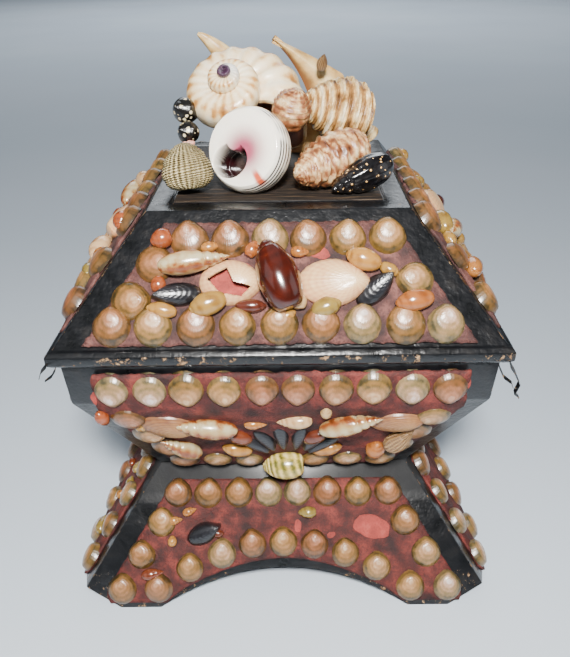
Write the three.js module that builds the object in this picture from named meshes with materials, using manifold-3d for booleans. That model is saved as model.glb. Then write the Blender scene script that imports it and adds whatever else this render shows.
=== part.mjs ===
// Square shell box on a flared, arched plinth, with a hollow pyramid lid that lifts off.
// Every face carries a layer of putty with small seashells, and larger shells stand on the lid's flat top.
// Millimetres, +Z up. The origin is the middle of the footprint, on the surface the box stands on.
import * as THREE from 'three';
import { ConvexGeometry } from 'three/addons/geometries/ConvexGeometry.js';
import { mergeVertices } from 'three/addons/utils/BufferGeometryUtils.js';
import Module from 'manifold-3d';

const wasm = await Module();
wasm.setup();

// Carcass: widths are across the flats of each square level, heights are upright.
const footWidth = 199; // the plinth's faces at the floor, before the corners wore away
const waistWidth = 118; // top of the plinth and bottom of the box
const shoulderWidth = 170; // fold of the box, where its walls turn upright
const mouthWidth = 172; // top of the box
const rimWidth = 180; // over the lid's bead
const flatWidth = 105; // the lid's flat top
const plinthHeight = 54;
const flareHeight = 55; // sloping part of the box
const bandHeight = 19.4; // upright part of the box
const rimHeight = 7;
const pyramidHeight = 43;
const wall = 3.5; // board thickness, square to each face
const seatGap = 0.3; // between pieces that rest on each other
const lidRing = 8; // width of the lid's seat on the box's mouth
const ledge = 2.5; // step from the bead to the pyramid
const beadRound = 1.6; // chamfers that round the bead
const archHalfSpan = 58;
const archRise = 14.3;
const cornerWearLength = 22.5; // how far a worn foot corner reaches along the floor
const cornerWearHeight = 7.6;
const borderWidth = 8.5; // paper border round the flat top
const grooveWidth = 1.2;
const grooveDepth = 0.9;

// Putty and small shells
const puttyDepth = 2;
const hipMargin = 11; // bare paper beside the hips
const lidFootMargin = 1.5;
const lidTopMargin = 5.5;
const bodyFootMargin = 3;
const bodyTopMargin = 3.4;
const plinthFootMargin = 2.6;
const plinthTopMargin = 8;
const archMargin = 4.4; // bare paper over the crown of the arch
const footPutty = 3; // how far the putty runs on over a worn foot corner
const valveWidth = 14.6; // a small bivalve on the lid and the box
const plinthValveWidth = 13.4;
const rowPitch = 15.6;
const plinthPitch = 14.6;
const valveRise = 0.3; // height of a bivalve as a share of its width
const valveSides = 5;
const ovalSides = 8;
const arcSteps = 10; // flats in each arch
const springMargin = 1; // the arch row starts this far outside the arch and runs this much higher
const valveLean = 0.45; // how far the beak leans out of the middle
const setDepth = 0.6; // how deep a shell's edge is pressed into the putty
const largeLift = 0.15; // a large shell lies this much higher than its gap, on its neighbours' feet
const smallSnailSides = 5;
const smallSnailSink = 0.28; // height of a small snail's axis over the putty, as a share of its width

// Levels worked out from the sizes above
const footHalf = footWidth / 2;
const waistHalf = waistWidth / 2;
const shoulderHalf = shoulderWidth / 2;
const mouthHalf = mouthWidth / 2;
const rimHalf = rimWidth / 2;
const flatHalf = flatWidth / 2;
const pyramidHalf = rimHalf - ledge;
const bodyZ = plinthHeight + seatGap;
const shoulderZ = bodyZ + flareHeight;
const mouthZ = shoulderZ + bandHeight;
const lidZ = mouthZ + seatGap;
const pyramidTop = rimHeight + pyramidHeight; // the flat, over the lid's own seat
const puttyTop = seatGap + puttyDepth;
const quarter = Math.PI / 2;
const sides = ['front', 'right', 'back', 'left'];

function finish(colour, roughness) {
  return new THREE.MeshStandardMaterial({ color: colour, roughness, metalness: 0 });
}

const blackPaper = finish(0x1b1c20, 0.4);
const redPutty = finish(0xb87468, 0.8);
const pinkPutty = finish(0xc9988f, 0.8);
const creamShell = finish(0xe9dcc0, 0.4);
const tanShell = finish(0xcfa478, 0.5);
const whiteShell = finish(0xf3ece2, 0.3);
const fanShell = finish(0xe6bb92, 0.4);
const bandedShell = finish(0xdcb88e, 0.35);
const chestnutShell = finish(0x6e2a14, 0.2);
const musselShell = finish(0x26262a, 0.35);
const darkShell = finish(0x2a2220, 0.3);
const rockShell = finish(0xb98a66, 0.6);
const pinkCrystal = finish(0xcf8f80, 0.6);

// A closed geometry as a solid that can be joined and cut
function solidOf(geometry) {
  const bare = geometry.clone();
  bare.deleteAttribute('normal');
  bare.deleteAttribute('uv');
  const merged = mergeVertices(bare, 1e-4);
  return new wasm.Manifold(
    new wasm.Mesh({
      numProp: 3,
      vertProperties: new Float32Array(merged.attributes.position.array),
      triVerts: new Uint32Array(merged.index.array),
    }),
  );
}

function join(solids) {
  return solids.reduce((all, next) => all.add(next));
}

function cut(solid, tools) {
  return tools.reduce((rest, tool) => rest.subtract(tool), solid);
}

// The convex solid round some corners and a second copy of each
function hullWith(corners, copyOf) {
  const points = [];
  for (let start = 0; start < corners.length; start += 3) {
    const point = new THREE.Vector3().fromArray(corners, start);
    points.push(point, copyOf(point.clone()));
  }
  return solidOf(new ConvexGeometry(points));
}

function addPiece(parent, name, solid, material) {
  const { vertProperties, triVerts } = solid.getMesh();
  const geometry = new THREE.BufferGeometry();
  geometry.setAttribute('position', new THREE.BufferAttribute(vertProperties, 3));
  geometry.setIndex(new THREE.BufferAttribute(triVerts, 1));
  geometry.computeVertexNormals();
  const mesh = new THREE.Mesh(geometry, material);
  mesh.name = name;
  parent.add(mesh);
}

// A square block whose half width changes evenly from one height to another
function taper(lowHalf, lowZ, highHalf, highZ) {
  const geometry = new THREE.CylinderGeometry(highHalf * Math.SQRT2, lowHalf * Math.SQRT2, highZ - lowZ, 4);
  geometry.rotateY(Math.PI / 4);
  geometry.rotateX(quarter);
  geometry.translate(0, 0, (lowZ + highZ) / 2);
  return solidOf(geometry);
}

function block(width, depth, height, x, y, z) {
  return solidOf(new THREE.BoxGeometry(width, depth, height).translate(x, y, z));
}

// How much wider a sloping wall is, measured level, than square to its face
function levelWall(lowHalf, highHalf, height) {
  return (wall * Math.hypot(highHalf - lowHalf, height)) / height;
}

function halfAt(lowHalf, lowZ, highHalf, highZ, z) {
  return lowHalf + ((highHalf - lowHalf) * (z - lowZ)) / (highZ - lowZ);
}

// The arch's opening, cut level through two opposite walls
function archCutter(halfSpan, rise, length) {
  const radius = (halfSpan * halfSpan + rise * rise) / (2 * rise);
  const reach = Math.asin(halfSpan / radius);
  const shape = new THREE.Shape();
  shape.moveTo(halfSpan, -wall);
  shape.lineTo(halfSpan, 0);
  shape.absarc(0, rise - radius, radius, quarter - reach, quarter + reach, false);
  shape.lineTo(-halfSpan, -wall);
  shape.closePath();
  const options = { depth: length, bevelEnabled: false, curveSegments: arcSteps };
  const geometry = new THREE.ExtrudeGeometry(shape, options);
  geometry.rotateX(quarter);
  geometry.translate(0, length / 2, 0);
  return solidOf(geometry);
}

// The worn underside of a foot's corner: a block whose top face slopes up and out
function cornerCutter(side) {
  const floorReach = Math.SQRT2 * (footHalf - cornerWearLength / 2);
  const topReach = Math.SQRT2 * halfAt(footHalf, 0, waistHalf, plinthHeight, cornerWearHeight);
  const size = cornerWearLength * 3;
  const geometry = new THREE.BoxGeometry(size, size, size).translate(0, -size / 2, -size / 2);
  geometry.translate(0, size / 4, 0);
  geometry.rotateX(-Math.atan2(cornerWearHeight, topReach - floorReach));
  geometry.translate(0, -floorReach, 0);
  geometry.rotateZ(side * quarter + Math.PI / 4);
  return solidOf(geometry);
}

function makePlinth(parent) {
  const levelThickness = levelWall(footHalf, waistHalf, plinthHeight);
  const roofZ = plinthHeight - wall;
  const slope = (footHalf - waistHalf) / plinthHeight;
  const hollow = taper(
    footHalf - levelThickness + slope * wall,
    -wall,
    waistHalf - levelThickness + slope * wall,
    roofZ,
  );
  const arch = archCutter(archHalfSpan, archRise, footWidth * 1.2);
  const outside = taper(footHalf, 0, waistHalf, plinthHeight);
  const corners = sides.map((name, side) => cornerCutter(side));
  addPiece(parent, 'plinth', cut(outside, [hollow, arch, arch.rotate([0, 0, 90]), ...corners]), blackPaper);
}

function makeBody(parent) {
  const thickness = levelWall(waistHalf, shoulderHalf, flareHeight);
  const floorZ = bodyZ + wall;
  const floorHalf = halfAt(waistHalf, bodyZ, shoulderHalf, shoulderZ, floorZ) - thickness;
  const outside = join([
    taper(waistHalf, bodyZ, shoulderHalf, shoulderZ),
    taper(shoulderHalf, shoulderZ, mouthHalf, mouthZ),
  ]);
  const hollow = join([
    taper(floorHalf, floorZ, shoulderHalf - thickness, shoulderZ),
    taper(shoulderHalf - thickness, shoulderZ, mouthHalf - thickness, mouthZ + wall),
  ]);
  addPiece(parent, 'box_body', outside.subtract(hollow), blackPaper);
}

// The lid's group stands at the lid's own seat, so heights here start from zero there
function makeLid(parent) {
  const topZ = pyramidTop;
  const thickness = levelWall(pyramidHalf, flatHalf, pyramidHeight);
  const outside = join([
    taper(rimHalf - beadRound, 0, rimHalf, beadRound),
    taper(rimHalf, beadRound, rimHalf, rimHeight - beadRound),
    taper(rimHalf, rimHeight - beadRound, rimHalf - beadRound, rimHeight),
    taper(pyramidHalf, rimHeight, flatHalf, topZ),
  ]);
  const roofZ = topZ - wall;
  const slope = (pyramidHalf - flatHalf) / pyramidHeight;
  const roofHalf = flatHalf - thickness + slope * wall;
  const sloping = taper(roofHalf + slope * (roofZ + wall), -wall, roofHalf, roofZ);
  const seatHalf = rimHalf - lidRing;
  const hollow = sloping.intersect(taper(seatHalf, -wall, seatHalf, topZ));
  const grooveHalf = flatHalf - borderWidth;
  const groove = taper(grooveHalf, topZ - grooveDepth, grooveHalf, topZ + wall).subtract(
    taper(grooveHalf - grooveWidth, topZ - wall, grooveHalf - grooveWidth, topZ + 2 * wall),
  );
  addPiece(parent, 'lid', cut(outside, [hollow, groove]), blackPaper);
}

// A face's own group: X runs level to the right, Y up the slope and Z out of the face
function faceGroup(parent, side, lowHalf, lowZ, highHalf, highZ) {
  const turned = new THREE.Group();
  turned.rotation.z = side * quarter;
  const face = new THREE.Group();
  face.position.set(0, -lowHalf, lowZ);
  face.rotation.x = Math.atan2(highZ - lowZ, lowHalf - highHalf);
  turned.add(face);
  parent.add(turned);
  return face;
}

function makeFace(lowHalf, highHalf, height) {
  return { lowHalf, highHalf, length: Math.hypot(highHalf - lowHalf, height) };
}

// Where the putty ends beside the hip, at a distance up the slope
function hipAt(face, y) {
  return face.lowHalf + ((face.highHalf - face.lowHalf) * y) / face.length - hipMargin;
}

// A flat sheet of putty with straight hips, its foot corners cut off where a corner is given
function puttySheet(lowHalf, lowY, highHalf, highY, corner = []) {
  const right = [[lowHalf, lowY], ...corner, [highHalf, highY]];
  const left = right.map(([x, y]) => [-x, y]).reverse();
  const shape = new THREE.Shape([...right, ...left].map(([x, y]) => new THREE.Vector2(x, y)));
  const geometry = new THREE.ExtrudeGeometry(shape, { depth: puttyDepth, bevelEnabled: false });
  geometry.translate(0, 0, seatGap);
  return solidOf(geometry);
}

// A round bivalve pressed into the putty, its beak leaning towards turn. Hidden sides get a plain cone.
function smallValve(x, y, width, turn, domed) {
  const radius = width / 2;
  const rise = width * valveRise;
  const profile = [new THREE.Vector2(0, -setDepth), new THREE.Vector2(radius, -setDepth)];
  if (domed) profile.push(new THREE.Vector2(radius * 0.78, rise * 0.62));
  profile.push(new THREE.Vector2(0, rise));
  const geometry = new THREE.LatheGeometry(profile, valveSides);
  geometry.rotateX(quarter);
  const leanX = Math.cos(turn) * valveLean;
  const leanY = Math.sin(turn) * valveLean;
  geometry.applyMatrix4(new THREE.Matrix4().set(1, 0, leanX, 0, 0, 1, leanY, 0, 0, 0, 1, 0, 0, 0, 0, 1));
  geometry.translate(x, y, puttyTop);
  return solidOf(geometry);
}

// A snail's outline turned about its axis: a tapered base, a full last whorl and a stepped spire.
// A swell under 1 rounds the spire.
function snailProfile({ length, width, spire, whorls, neck, swell = 1 }, grow) {
  const radius = width / 2;
  const base = length * (1 - spire);
  const step = (length * spire) / (whorls + 1);
  const points = [
    new THREE.Vector2(0, -base - grow),
    new THREE.Vector2(radius * neck + grow, -base - grow),
    new THREE.Vector2(radius * (0.45 + 0.55 * neck) + grow, -base * 0.62),
    new THREE.Vector2(radius + grow, 0),
  ];
  for (let whorl = 1; whorl <= whorls; whorl += 1) {
    const share = (1 - whorl / (whorls + 1)) ** swell;
    points.push(new THREE.Vector2(radius * share * 0.92 + grow, step * (whorl - 0.36)));
    points.push(new THREE.Vector2(radius * share * 1.03 + grow, step * whorl));
  }
  points.push(new THREE.Vector2(0, length * spire + grow));
  return points;
}

// A whole snail lying with its spire along direction
function snail(sizes, sideCount, position, direction, grow = 0) {
  const geometry = new THREE.LatheGeometry(snailProfile(sizes, grow), sideCount);
  const up = new THREE.Vector3(0, 1, 0);
  const aim = new THREE.Vector3(...direction).normalize();
  geometry.applyQuaternion(new THREE.Quaternion().setFromUnitVectors(up, aim));
  geometry.translate(...position);
  return solidOf(geometry);
}

// A large oval valve lying open side down, its beak at the end that turn points to
function ovalValve(length, width, rise, position, turn, grow = 0) {
  const profile = [
    new THREE.Vector2(0, -grow),
    new THREE.Vector2(0.5, -grow),
    new THREE.Vector2(0.47, rise * 0.35),
    new THREE.Vector2(0.34, rise * 0.82 + grow),
    new THREE.Vector2(0, rise + grow),
  ];
  const geometry = new THREE.LatheGeometry(profile, ovalSides);
  geometry.rotateX(quarter);
  geometry.scale(length + 2 * grow, width + 2 * grow, 1);
  geometry.rotateZ(turn);
  geometry.translate(...position);
  return solidOf(geometry);
}

// A small snail half sunk in the putty, its spire towards turn, with no hollow left under it
function smallSnail(x, y, length, width, turn) {
  const profile = [
    new THREE.Vector2(0, -length * 0.45),
    new THREE.Vector2(width * 0.42, -length * 0.24),
    new THREE.Vector2(width * 0.46, length * 0.06),
    new THREE.Vector2(0, length * 0.55),
  ];
  const geometry = new THREE.LatheGeometry(profile, smallSnailSides);
  geometry.rotateZ(turn - quarter);
  geometry.translate(x, y, puttyTop + width * smallSnailSink);
  return hullWith(geometry.getAttribute('position').array, (corner) => corner.setZ(puttyTop - setDepth));
}

// Shells evenly along a line, as many as its length takes
function rowOfValves(from, to, { width, pitch, turn, domed }) {
  const [fromX, fromY] = from;
  const [toX, toY] = to;
  const steps = Math.max(1, Math.round(Math.hypot(toX - fromX, toY - fromY) / pitch));
  return Array.from({ length: steps + 1 }, (unused, step) => {
    const share = step / steps;
    return smallValve(fromX + (toX - fromX) * share, fromY + (toY - fromY) * share, width, turn, domed);
  });
}

// Shell places are shares of the face: across from the middle to the hip, and up its slope
function onFace(face, across, up) {
  const y = face.length * up;
  return [(face.lowHalf + (face.highHalf - face.lowHalf) * up) * across, y];
}

function degrees(angle) {
  return THREE.MathUtils.degToRad(angle);
}

// Loose snails between the rows: share across, share up, length, width and the spire's direction in degrees
const lidSnails = [
  [-0.74, 0.77, 8.5, 8, 200],
  [-0.43, 0.71, 8, 4.6, 10],
  [-0.64, 0.45, 7, 6, 90],
  [-0.58, 0.27, 12, 6.4, 170],
  [-0.36, 0.3, 15, 9.4, 200],
  [-0.16, 0.69, 7, 5.4, 60],
  [0.12, 0.67, 8, 4.6, 0],
  [0.48, 0.61, 14, 9, 160],
  [0.62, 0.53, 8, 5.4, 330],
  [0.66, 0.31, 15, 8.6, 190],
  [-0.13, 0.29, 12, 5.4, 0],
  [0.1, 0.32, 7, 6.4, 90],
  [0.04, 0.22, 8, 5, 30],
  [0.24, 0.28, 12, 8, 20],
];
const bodySnails = [
  [-0.15, 0.78, 10, 4.6, 0],
  [0.09, 0.84, 15, 6.6, 185],
  [0.22, 0.95, 6, 5, 90],
  [0.6, 0.4, 10, 9, 80],
  [-0.74, 0.78, 6, 5, 0],
  [-0.3, 0.4, 14, 7, 160],
  [0.3, 0.4, 14, 7, 20],
  [-0.25, 0.62, 13, 7, 140],
  [0.2, 0.62, 13, 7, 40],
];
const plinthSnails = [
  [-0.62, 0.66, 7, 4, 20],
  [-0.69, 0.6, 7, 4, 10],
  [-0.65, 0.46, 5, 4.4, 90],
  [-0.39, 0.51, 6, 4, 0],
  [-0.7, 0.24, 11, 5.4, 10],
  [0.16, 0.65, 8.5, 5.6, 180],
];

function snailsOn(face, list) {
  return list.map(([across, up, length, width, turn]) => {
    const [x, y] = onFace(face, across, up);
    return smallSnail(x, y, length, width, degrees(turn));
  });
}

// Large shells of a face, each a piece of its own, in the order in which they lie on each other
function lyingSnail(name, material, across, up, turn, sizes) {
  return {
    name,
    material,
    build: (face, grow) => {
      const [x, y] = onFace(face, across, up);
      const angle = degrees(turn);
      const height = puttyTop + seatGap + sizes.width * 0.42;
      return snail(sizes, sizes.sides, [x, y, height], [Math.cos(angle), Math.sin(angle), 0], grow);
    },
  };
}

function lyingValve(name, material, across, up, turn, { length, width, rise, hole }) {
  return {
    name,
    material,
    build: (face, grow) => {
      const [x, y] = onFace(face, across, up);
      return ovalValve(length, width, rise, [x, y, puttyTop + seatGap], degrees(turn), grow);
    },
    trim: (solid, face) => (hole ? solid.subtract(brokenHole(...onFace(face, across, up), hole)) : solid),
  };
}

// The jagged gap in a broken valve, through to the putty
function brokenHole(x, y, { length, width }) {
  const corners = Array.from({ length: brokenTeeth }, (unused, corner) => {
    const angle = (corner / brokenTeeth) * 2 * Math.PI;
    const reach = corner % 3 === 1 ? 0.62 : 1;
    return new THREE.Vector2((Math.cos(angle) * reach * length) / 2, (Math.sin(angle) * reach * width) / 2);
  });
  const shape = new THREE.Shape(corners);
  const geometry = new THREE.ExtrudeGeometry(shape, { depth: 4 * length, bevelEnabled: false });
  geometry.translate(x - length * 0.14, y, -length);
  return solidOf(geometry);
}

const mussel = { spire: 0.5, whorls: 1, neck: 0.3, sides: 8 };
const turret = { spire: 0.66, whorls: 2, neck: 0.4, sides: 6 };
const plainTurret = { ...turret, whorls: 1 };
const roundSnail = { spire: 0.6, whorls: 1, neck: 0.45, swell: 0.8, sides: 9 };
const fanSizes = { length: 28, width: 19, rise: 6 };
const ovalSizes = { length: 26, width: 17, rise: 5.5 };
const brokenTeeth = 9;
const brokenSizes = { length: 24, width: 18, rise: 5.5, hole: { length: 15, width: 10 } };

const largeShells = {
  lid_front: [
    lyingSnail('chestnut_snail', chestnutShell, 0, 0.47, 110, { ...roundSnail, length: 28, width: 16 }),
    lyingValve('fan_valve', fanShell, 0.29, 0.45, 0, fanSizes),
    lyingValve('broken_valve', fanShell, -0.26, 0.46, 0, brokenSizes),
    lyingSnail('banded_whelk', bandedShell, -0.53, 0.59, 8, { ...turret, length: 28, width: 9.4 }),
    lyingSnail('mussel_left', musselShell, -0.52, 0.38, 185, { ...mussel, length: 19, width: 9.6 }),
    lyingSnail('mussel_right', musselShell, 0.5, 0.4, 40, { ...mussel, length: 18, width: 10 }),
  ],
  body_front: [
    lyingValve('oval_valve_left', tanShell, -0.6, 0.78, -8, ovalSizes),
    lyingSnail('turret_left', bandedShell, -0.36, 0.8, 170, { ...turret, length: 28, width: 9 }),
    lyingSnail('turret_right', bandedShell, 0.32, 0.82, 22, { ...turret, length: 28, width: 9 }),
    lyingValve('oval_valve_right', tanShell, 0.6, 0.8, 12, { length: 24, width: 14, rise: 5 }),
    lyingSnail('hanging_snail', bandedShell, 0.02, 0.22, 185, { ...roundSnail, length: 19, width: 13 }),
    lyingSnail('turret_low', bandedShell, -0.6, 0.45, 140, { ...turret, length: 21, width: 8 }),
    lyingSnail('ribbed_whelk', tanShell, 0.68, 0.56, 60, { ...turret, length: 19, width: 8.4 }),
  ],
  plinth_front: [
    lyingSnail('mussel', musselShell, -0.48, 0.51, 25, { ...mussel, length: 17, width: 10 }),
  ],
};
for (const name of sides.slice(1)) {
  largeShells[`lid_${name}`] = [
    lyingValve('fan_valve', fanShell, 0.1, 0.45, 0, fanSizes),
    lyingSnail('banded_whelk', bandedShell, -0.38, 0.46, 160, { ...plainTurret, length: 26, width: 9.4 }),
  ];
  largeShells[`body_${name}`] = [
    lyingValve('oval_valve', tanShell, -0.3, 0.74, 0, ovalSizes),
    lyingSnail('turret', bandedShell, 0.34, 0.74, 20, { ...plainTurret, length: 28, width: 9 }),
  ];
}

// Puts a face's shells down one after another, each kept clear of those before it.
// The putty panel is cut clear of them all, up through what would lie over them.
function layShells(group, key, face, panel, material) {
  const size = 4 * face.length;
  const under = (top) => block(size, size, size, 0, face.length / 2, top - size / 2);
  const laid = [];
  const cleared = [];
  for (const shell of largeShells[key] ?? []) {
    let solid = shell.build(face, 0).subtract(under(puttyTop + largeLift + seatGap));
    solid = cut(solid, laid);
    if (shell.trim) solid = shell.trim(solid, face);
    addPiece(group, `${key}_${shell.name}`, solid, shell.material);
    const room = shell.build(face, seatGap).subtract(under(puttyTop + largeLift));
    laid.push(room);
    cleared.push(hullWith(room.getMesh().vertProperties, (corner) => corner.setZ(corner.z + valveWidth)));
  }
  addPiece(group, `${key}_panel`, cut(panel, cleared), material);
}

function makeLidFace(parent, side) {
  const key = `lid_${sides[side]}`;
  const group = faceGroup(parent, side, pyramidHalf, rimHeight, flatHalf, pyramidTop);
  const face = makeFace(pyramidHalf, flatHalf, pyramidHeight);
  const radius = valveWidth / 2;
  const topY = face.length - lidTopMargin;
  const lowRow = lidFootMargin + radius;
  const highRow = topY - radius;
  const middle = (lowRow + highRow) / 2;
  const front = side === 0;
  const row = { width: valveWidth, pitch: rowPitch, turn: quarter, domed: front };
  const edge = (y) => hipAt(face, y) - radius;
  const highLeft = front ? 0.81 : 1; // the front's top row starts further in, after a round snail
  const leftValves = front ? [middle + radius, middle - radius] : [middle];
  const solids = [
    puttySheet(hipAt(face, 0), lidFootMargin, hipAt(face, topY), topY),
    ...rowOfValves([-edge(lowRow), lowRow], [edge(lowRow), lowRow], row),
    ...rowOfValves([-edge(highRow) * highLeft, highRow], [edge(highRow), highRow], row),
    ...leftValves.map((y) => smallValve(-edge(y), y, valveWidth, 0, front)),
    smallValve(edge(middle), middle, valveWidth, Math.PI, front),
    ...snailsOn(face, front ? lidSnails : []),
  ];
  layShells(group, key, face, join(solids), pinkPutty);
}

// The box's putty is one sheet folded over the shoulder
function foldedPutty(face, bandLean, lowY, bandTop) {
  const along = new THREE.Vector2(Math.cos(bandLean), -Math.sin(bandLean));
  const outward = new THREE.Vector2(Math.sin(bandLean), Math.cos(bandLean));
  const fold = new THREE.Vector2(face.length, 0);
  const mitre = new THREE.Vector2(0, 1).add(outward).divideScalar(1 + outward.y);
  const end = fold.clone().addScaledVector(along, bandTop);
  const section = new THREE.Shape([
    new THREE.Vector2(lowY, seatGap),
    fold.clone().addScaledVector(mitre, seatGap),
    end.clone().addScaledVector(outward, seatGap),
    end.clone().addScaledVector(outward, puttyTop),
    fold.clone().addScaledVector(mitre, puttyTop),
    new THREE.Vector2(lowY, puttyTop),
  ]);
  const width = 4 * face.highHalf;
  const geometry = new THREE.ExtrudeGeometry(section, { depth: width, bevelEnabled: false });
  geometry.applyMatrix4(new THREE.Matrix4().set(0, 0, 1, -width / 2, 1, 0, 0, 0, 0, 1, 0, 0, 0, 0, 0, 1));
  const outline = new THREE.Shape();
  const foldHalf = hipAt(face, face.length);
  const reach = face.length + bandTop * 2;
  outline.moveTo(-hipAt(face, lowY), lowY);
  outline.lineTo(hipAt(face, lowY), lowY);
  outline.lineTo(foldHalf, face.length);
  outline.lineTo(foldHalf, reach);
  outline.lineTo(-foldHalf, reach);
  outline.lineTo(-foldHalf, face.length);
  outline.closePath();
  const depth = 8 * bandTop;
  const prism = new THREE.ExtrudeGeometry(outline, { depth, bevelEnabled: false });
  prism.translate(0, 0, -depth / 2);
  return solidOf(geometry).intersect(solidOf(prism));
}

function makeBodyFace(parent, side) {
  const key = `body_${sides[side]}`;
  const group = faceGroup(parent, side, waistHalf, bodyZ, shoulderHalf, shoulderZ);
  const face = makeFace(waistHalf, shoulderHalf, flareHeight);
  const flareAngle = Math.atan2(flareHeight, waistHalf - shoulderHalf);
  const bandAngle = Math.atan2(bandHeight, shoulderHalf - mouthHalf);
  const bandLean = flareAngle - bandAngle;
  const bandTop = Math.hypot(mouthHalf - shoulderHalf, bandHeight) - bodyTopMargin;
  const radius = valveWidth / 2;
  const front = side === 0;
  const row = { width: valveWidth, pitch: rowPitch, turn: quarter, domed: front };
  const bandTurn = [-THREE.MathUtils.radToDeg(bandLean), 0, 0];
  const onBand = (solid) => solid.rotate(bandTurn).translate([0, face.length, 0]);
  const bandX = shoulderHalf - hipMargin - radius;
  const bandY = bandTop - radius;
  const edge = (y) => hipAt(face, y) - radius;
  const foot = bodyFootMargin + radius;
  const low = foot + rowPitch;
  const high = face.length - radius;
  const footX = edge(foot);
  const solids = [
    foldedPutty(face, bandLean, bodyFootMargin, bandTop),
    ...rowOfValves([-bandX, bandY], [bandX, bandY], { ...row, turn: -quarter }).map(onBand),
    ...rowOfValves([-edge(low), low], [-edge(high), high], { ...row, turn: 0 }),
    ...rowOfValves([edge(low), low], [edge(high), high], { ...row, turn: Math.PI }),
    ...rowOfValves([-footX, foot], [footX, foot], row),
    ...snailsOn(face, front ? bodySnails : []),
  ];
  layShells(group, key, face, join(solids), redPutty);
}

function makePlinthFace(parent, side) {
  const key = `plinth_${sides[side]}`;
  const group = faceGroup(parent, side, footHalf, 0, waistHalf, plinthHeight);
  const face = makeFace(footHalf, waistHalf, plinthHeight);
  const radius = plinthValveWidth / 2;
  const topY = face.length - plinthTopMargin;
  const highRow = topY - radius;
  const foot = plinthFootMargin + radius;
  const high = highRow - 2 * radius;
  const edge = (y) => hipAt(face, y) - radius;
  const archTop = (archRise * face.length) / plinthHeight;
  const front = side === 0;
  const row = { width: plinthValveWidth, pitch: plinthPitch, turn: quarter, domed: front };
  const crown = archTop + archMargin + radius + springMargin;
  const spring = archHalfSpan + springMargin;
  const archSteps = Math.max(2, Math.round((2 * spring) / plinthPitch));
  const archValves = Array.from({ length: archSteps + 1 }, (unused, step) => {
    const share = (2 * step) / archSteps - 1;
    const y = crown - (crown - foot) * share * share;
    return smallValve(share * spring, y, plinthValveWidth, quarter, front);
  });
  const opening = archCutter(archHalfSpan, archTop + archMargin, footWidth).rotate([-90, 0, 0]);
  const footX = footHalf - cornerWearLength + footPutty;
  const cornerY = cornerWearHeight + footPutty / 2;
  const corner = [[hipAt(face, cornerY), cornerY]];
  const sheet = puttySheet(footX, plinthFootMargin, hipAt(face, topY), topY, corner);
  const solids = [
    sheet.subtract(opening),
    ...rowOfValves([-edge(highRow), highRow], [edge(highRow), highRow], row),
    ...rowOfValves([-edge(foot), foot], [-edge(high), high], row),
    ...rowOfValves([edge(foot), foot], [edge(high), high], row),
    ...archValves,
    ...snailsOn(face, front ? plinthSnails : []),
  ];
  layShells(group, key, face, join(solids), redPutty);
}

// Shells standing on the flat top. Positions are in the flat's own frame, heights from the flat.
function standingSnail(name, material, sideCount, sizes, position, direction) {
  return { name, material, build: (grow) => snail(sizes, sideCount, position, direction, grow) };
}

const turban = { length: 50, width: 53, spire: 0.6, whorls: 3, neck: 0.72, swell: 0.6 };
const frilled = { length: 40, width: 38, spire: 0.62, whorls: 3, neck: 0.55, swell: 0.8 };
const rock = { length: 35, width: 22, spire: 0.6, whorls: 3, neck: 0.45 };
const basket = { length: 20, width: 20, spire: 0.45, whorls: 1, neck: 0.5, swell: 0.8 };
const spotted = { length: 27, width: 13.4, spire: 0.6, whorls: 2, neck: 0.4 };
const lump = { length: 17, width: 15, spire: 0.5, whorls: 1, neck: 0.6, swell: 0.8 };
const nerite = { length: 11, width: 10.4, spire: 0.5, whorls: 1, neck: 0.6, swell: 0.7 };
const smallNerite = { ...nerite, length: 9.4, width: 9.4 };
const horn = { length: 60, width: 21, spire: 0.72, whorls: 0, neck: 0.5 };
const moon = { radius: 17.5, mouth: 15.2, mouthReach: 8, back: 15, centre: [-11.2, -30, 17], sides: 14 };
const moonHollow = {
  depth: 7, waist: 5, floor: 4, throat: 6.2, opening: 6.6, centre: [-17, -31, 12.8], sides: 10,
};
const moonAim = new THREE.Vector3(-0.17, -0.86, 0.48).normalize();
const crystal = { radius: 6, centre: [-38.5, -17, 13.5] };
const blade = { thickness: 5, back: 27, tilt: -6, turn: 8, bendSteps: 5 };
const lostValve = { radius: 10, rise: 4, tilt: -28, centre: [41.5, 33, 4.7], sides: 10 };

const clusterShells = [
  standingSnail('top_turban_shell', creamShell, 14, turban, [-14, 11.9, 26.4], [-0.28, -0.72, 0.63]),
  { name: 'top_moon_shell', material: whiteShell, build: moonShell },
  standingSnail('top_basket_shell', tanShell, 8, basket, [-38.5, -31, 9.8], [-0.7, -0.5, -0.25]),
  standingSnail('top_rock_shell', rockShell, 8, rock, [25, -21, 11.2], [-0.75, -0.6, -0.25]),
  standingSnail('top_frilled_shell', creamShell, 10, frilled, [32, 10, 19.4], [-0.9, -0.12, 0.4]),
  standingSnail('top_spotted_shell', darkShell, 8, spotted, [37, -31, 6.9], [-0.92, -0.2, -0.16]),
  standingSnail('top_cockle_lump', tanShell, 6, lump, [6, -14, 29], [0.1, -0.6, 0.8]),
  standingSnail('top_dark_nerite', darkShell, 6, nerite, [-41, -3, 28.5], [-0.6, -0.7, 0.4]),
  {
    name: 'top_crystal_clump',
    material: pinkCrystal,
    build: (grow) => {
      const geometry = new THREE.IcosahedronGeometry(crystal.radius + grow);
      return solidOf(geometry.translate(...crystal.centre));
    },
  },
  standingSnail('top_small_nerite', darkShell, 6, smallNerite, [-39.5, -9.5, 19.8], [-0.6, -0.7, 0.4]),
  standingSnail('top_horn_shell', creamShell, 8, horn, [-24.5, 42, 14], [-0.2, -0.33, 0.9]),
  { name: 'top_blade_shell', material: creamShell, build: bladeShell },
  { name: 'top_flat_valve', material: tanShell, build: flatValve },
];

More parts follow.
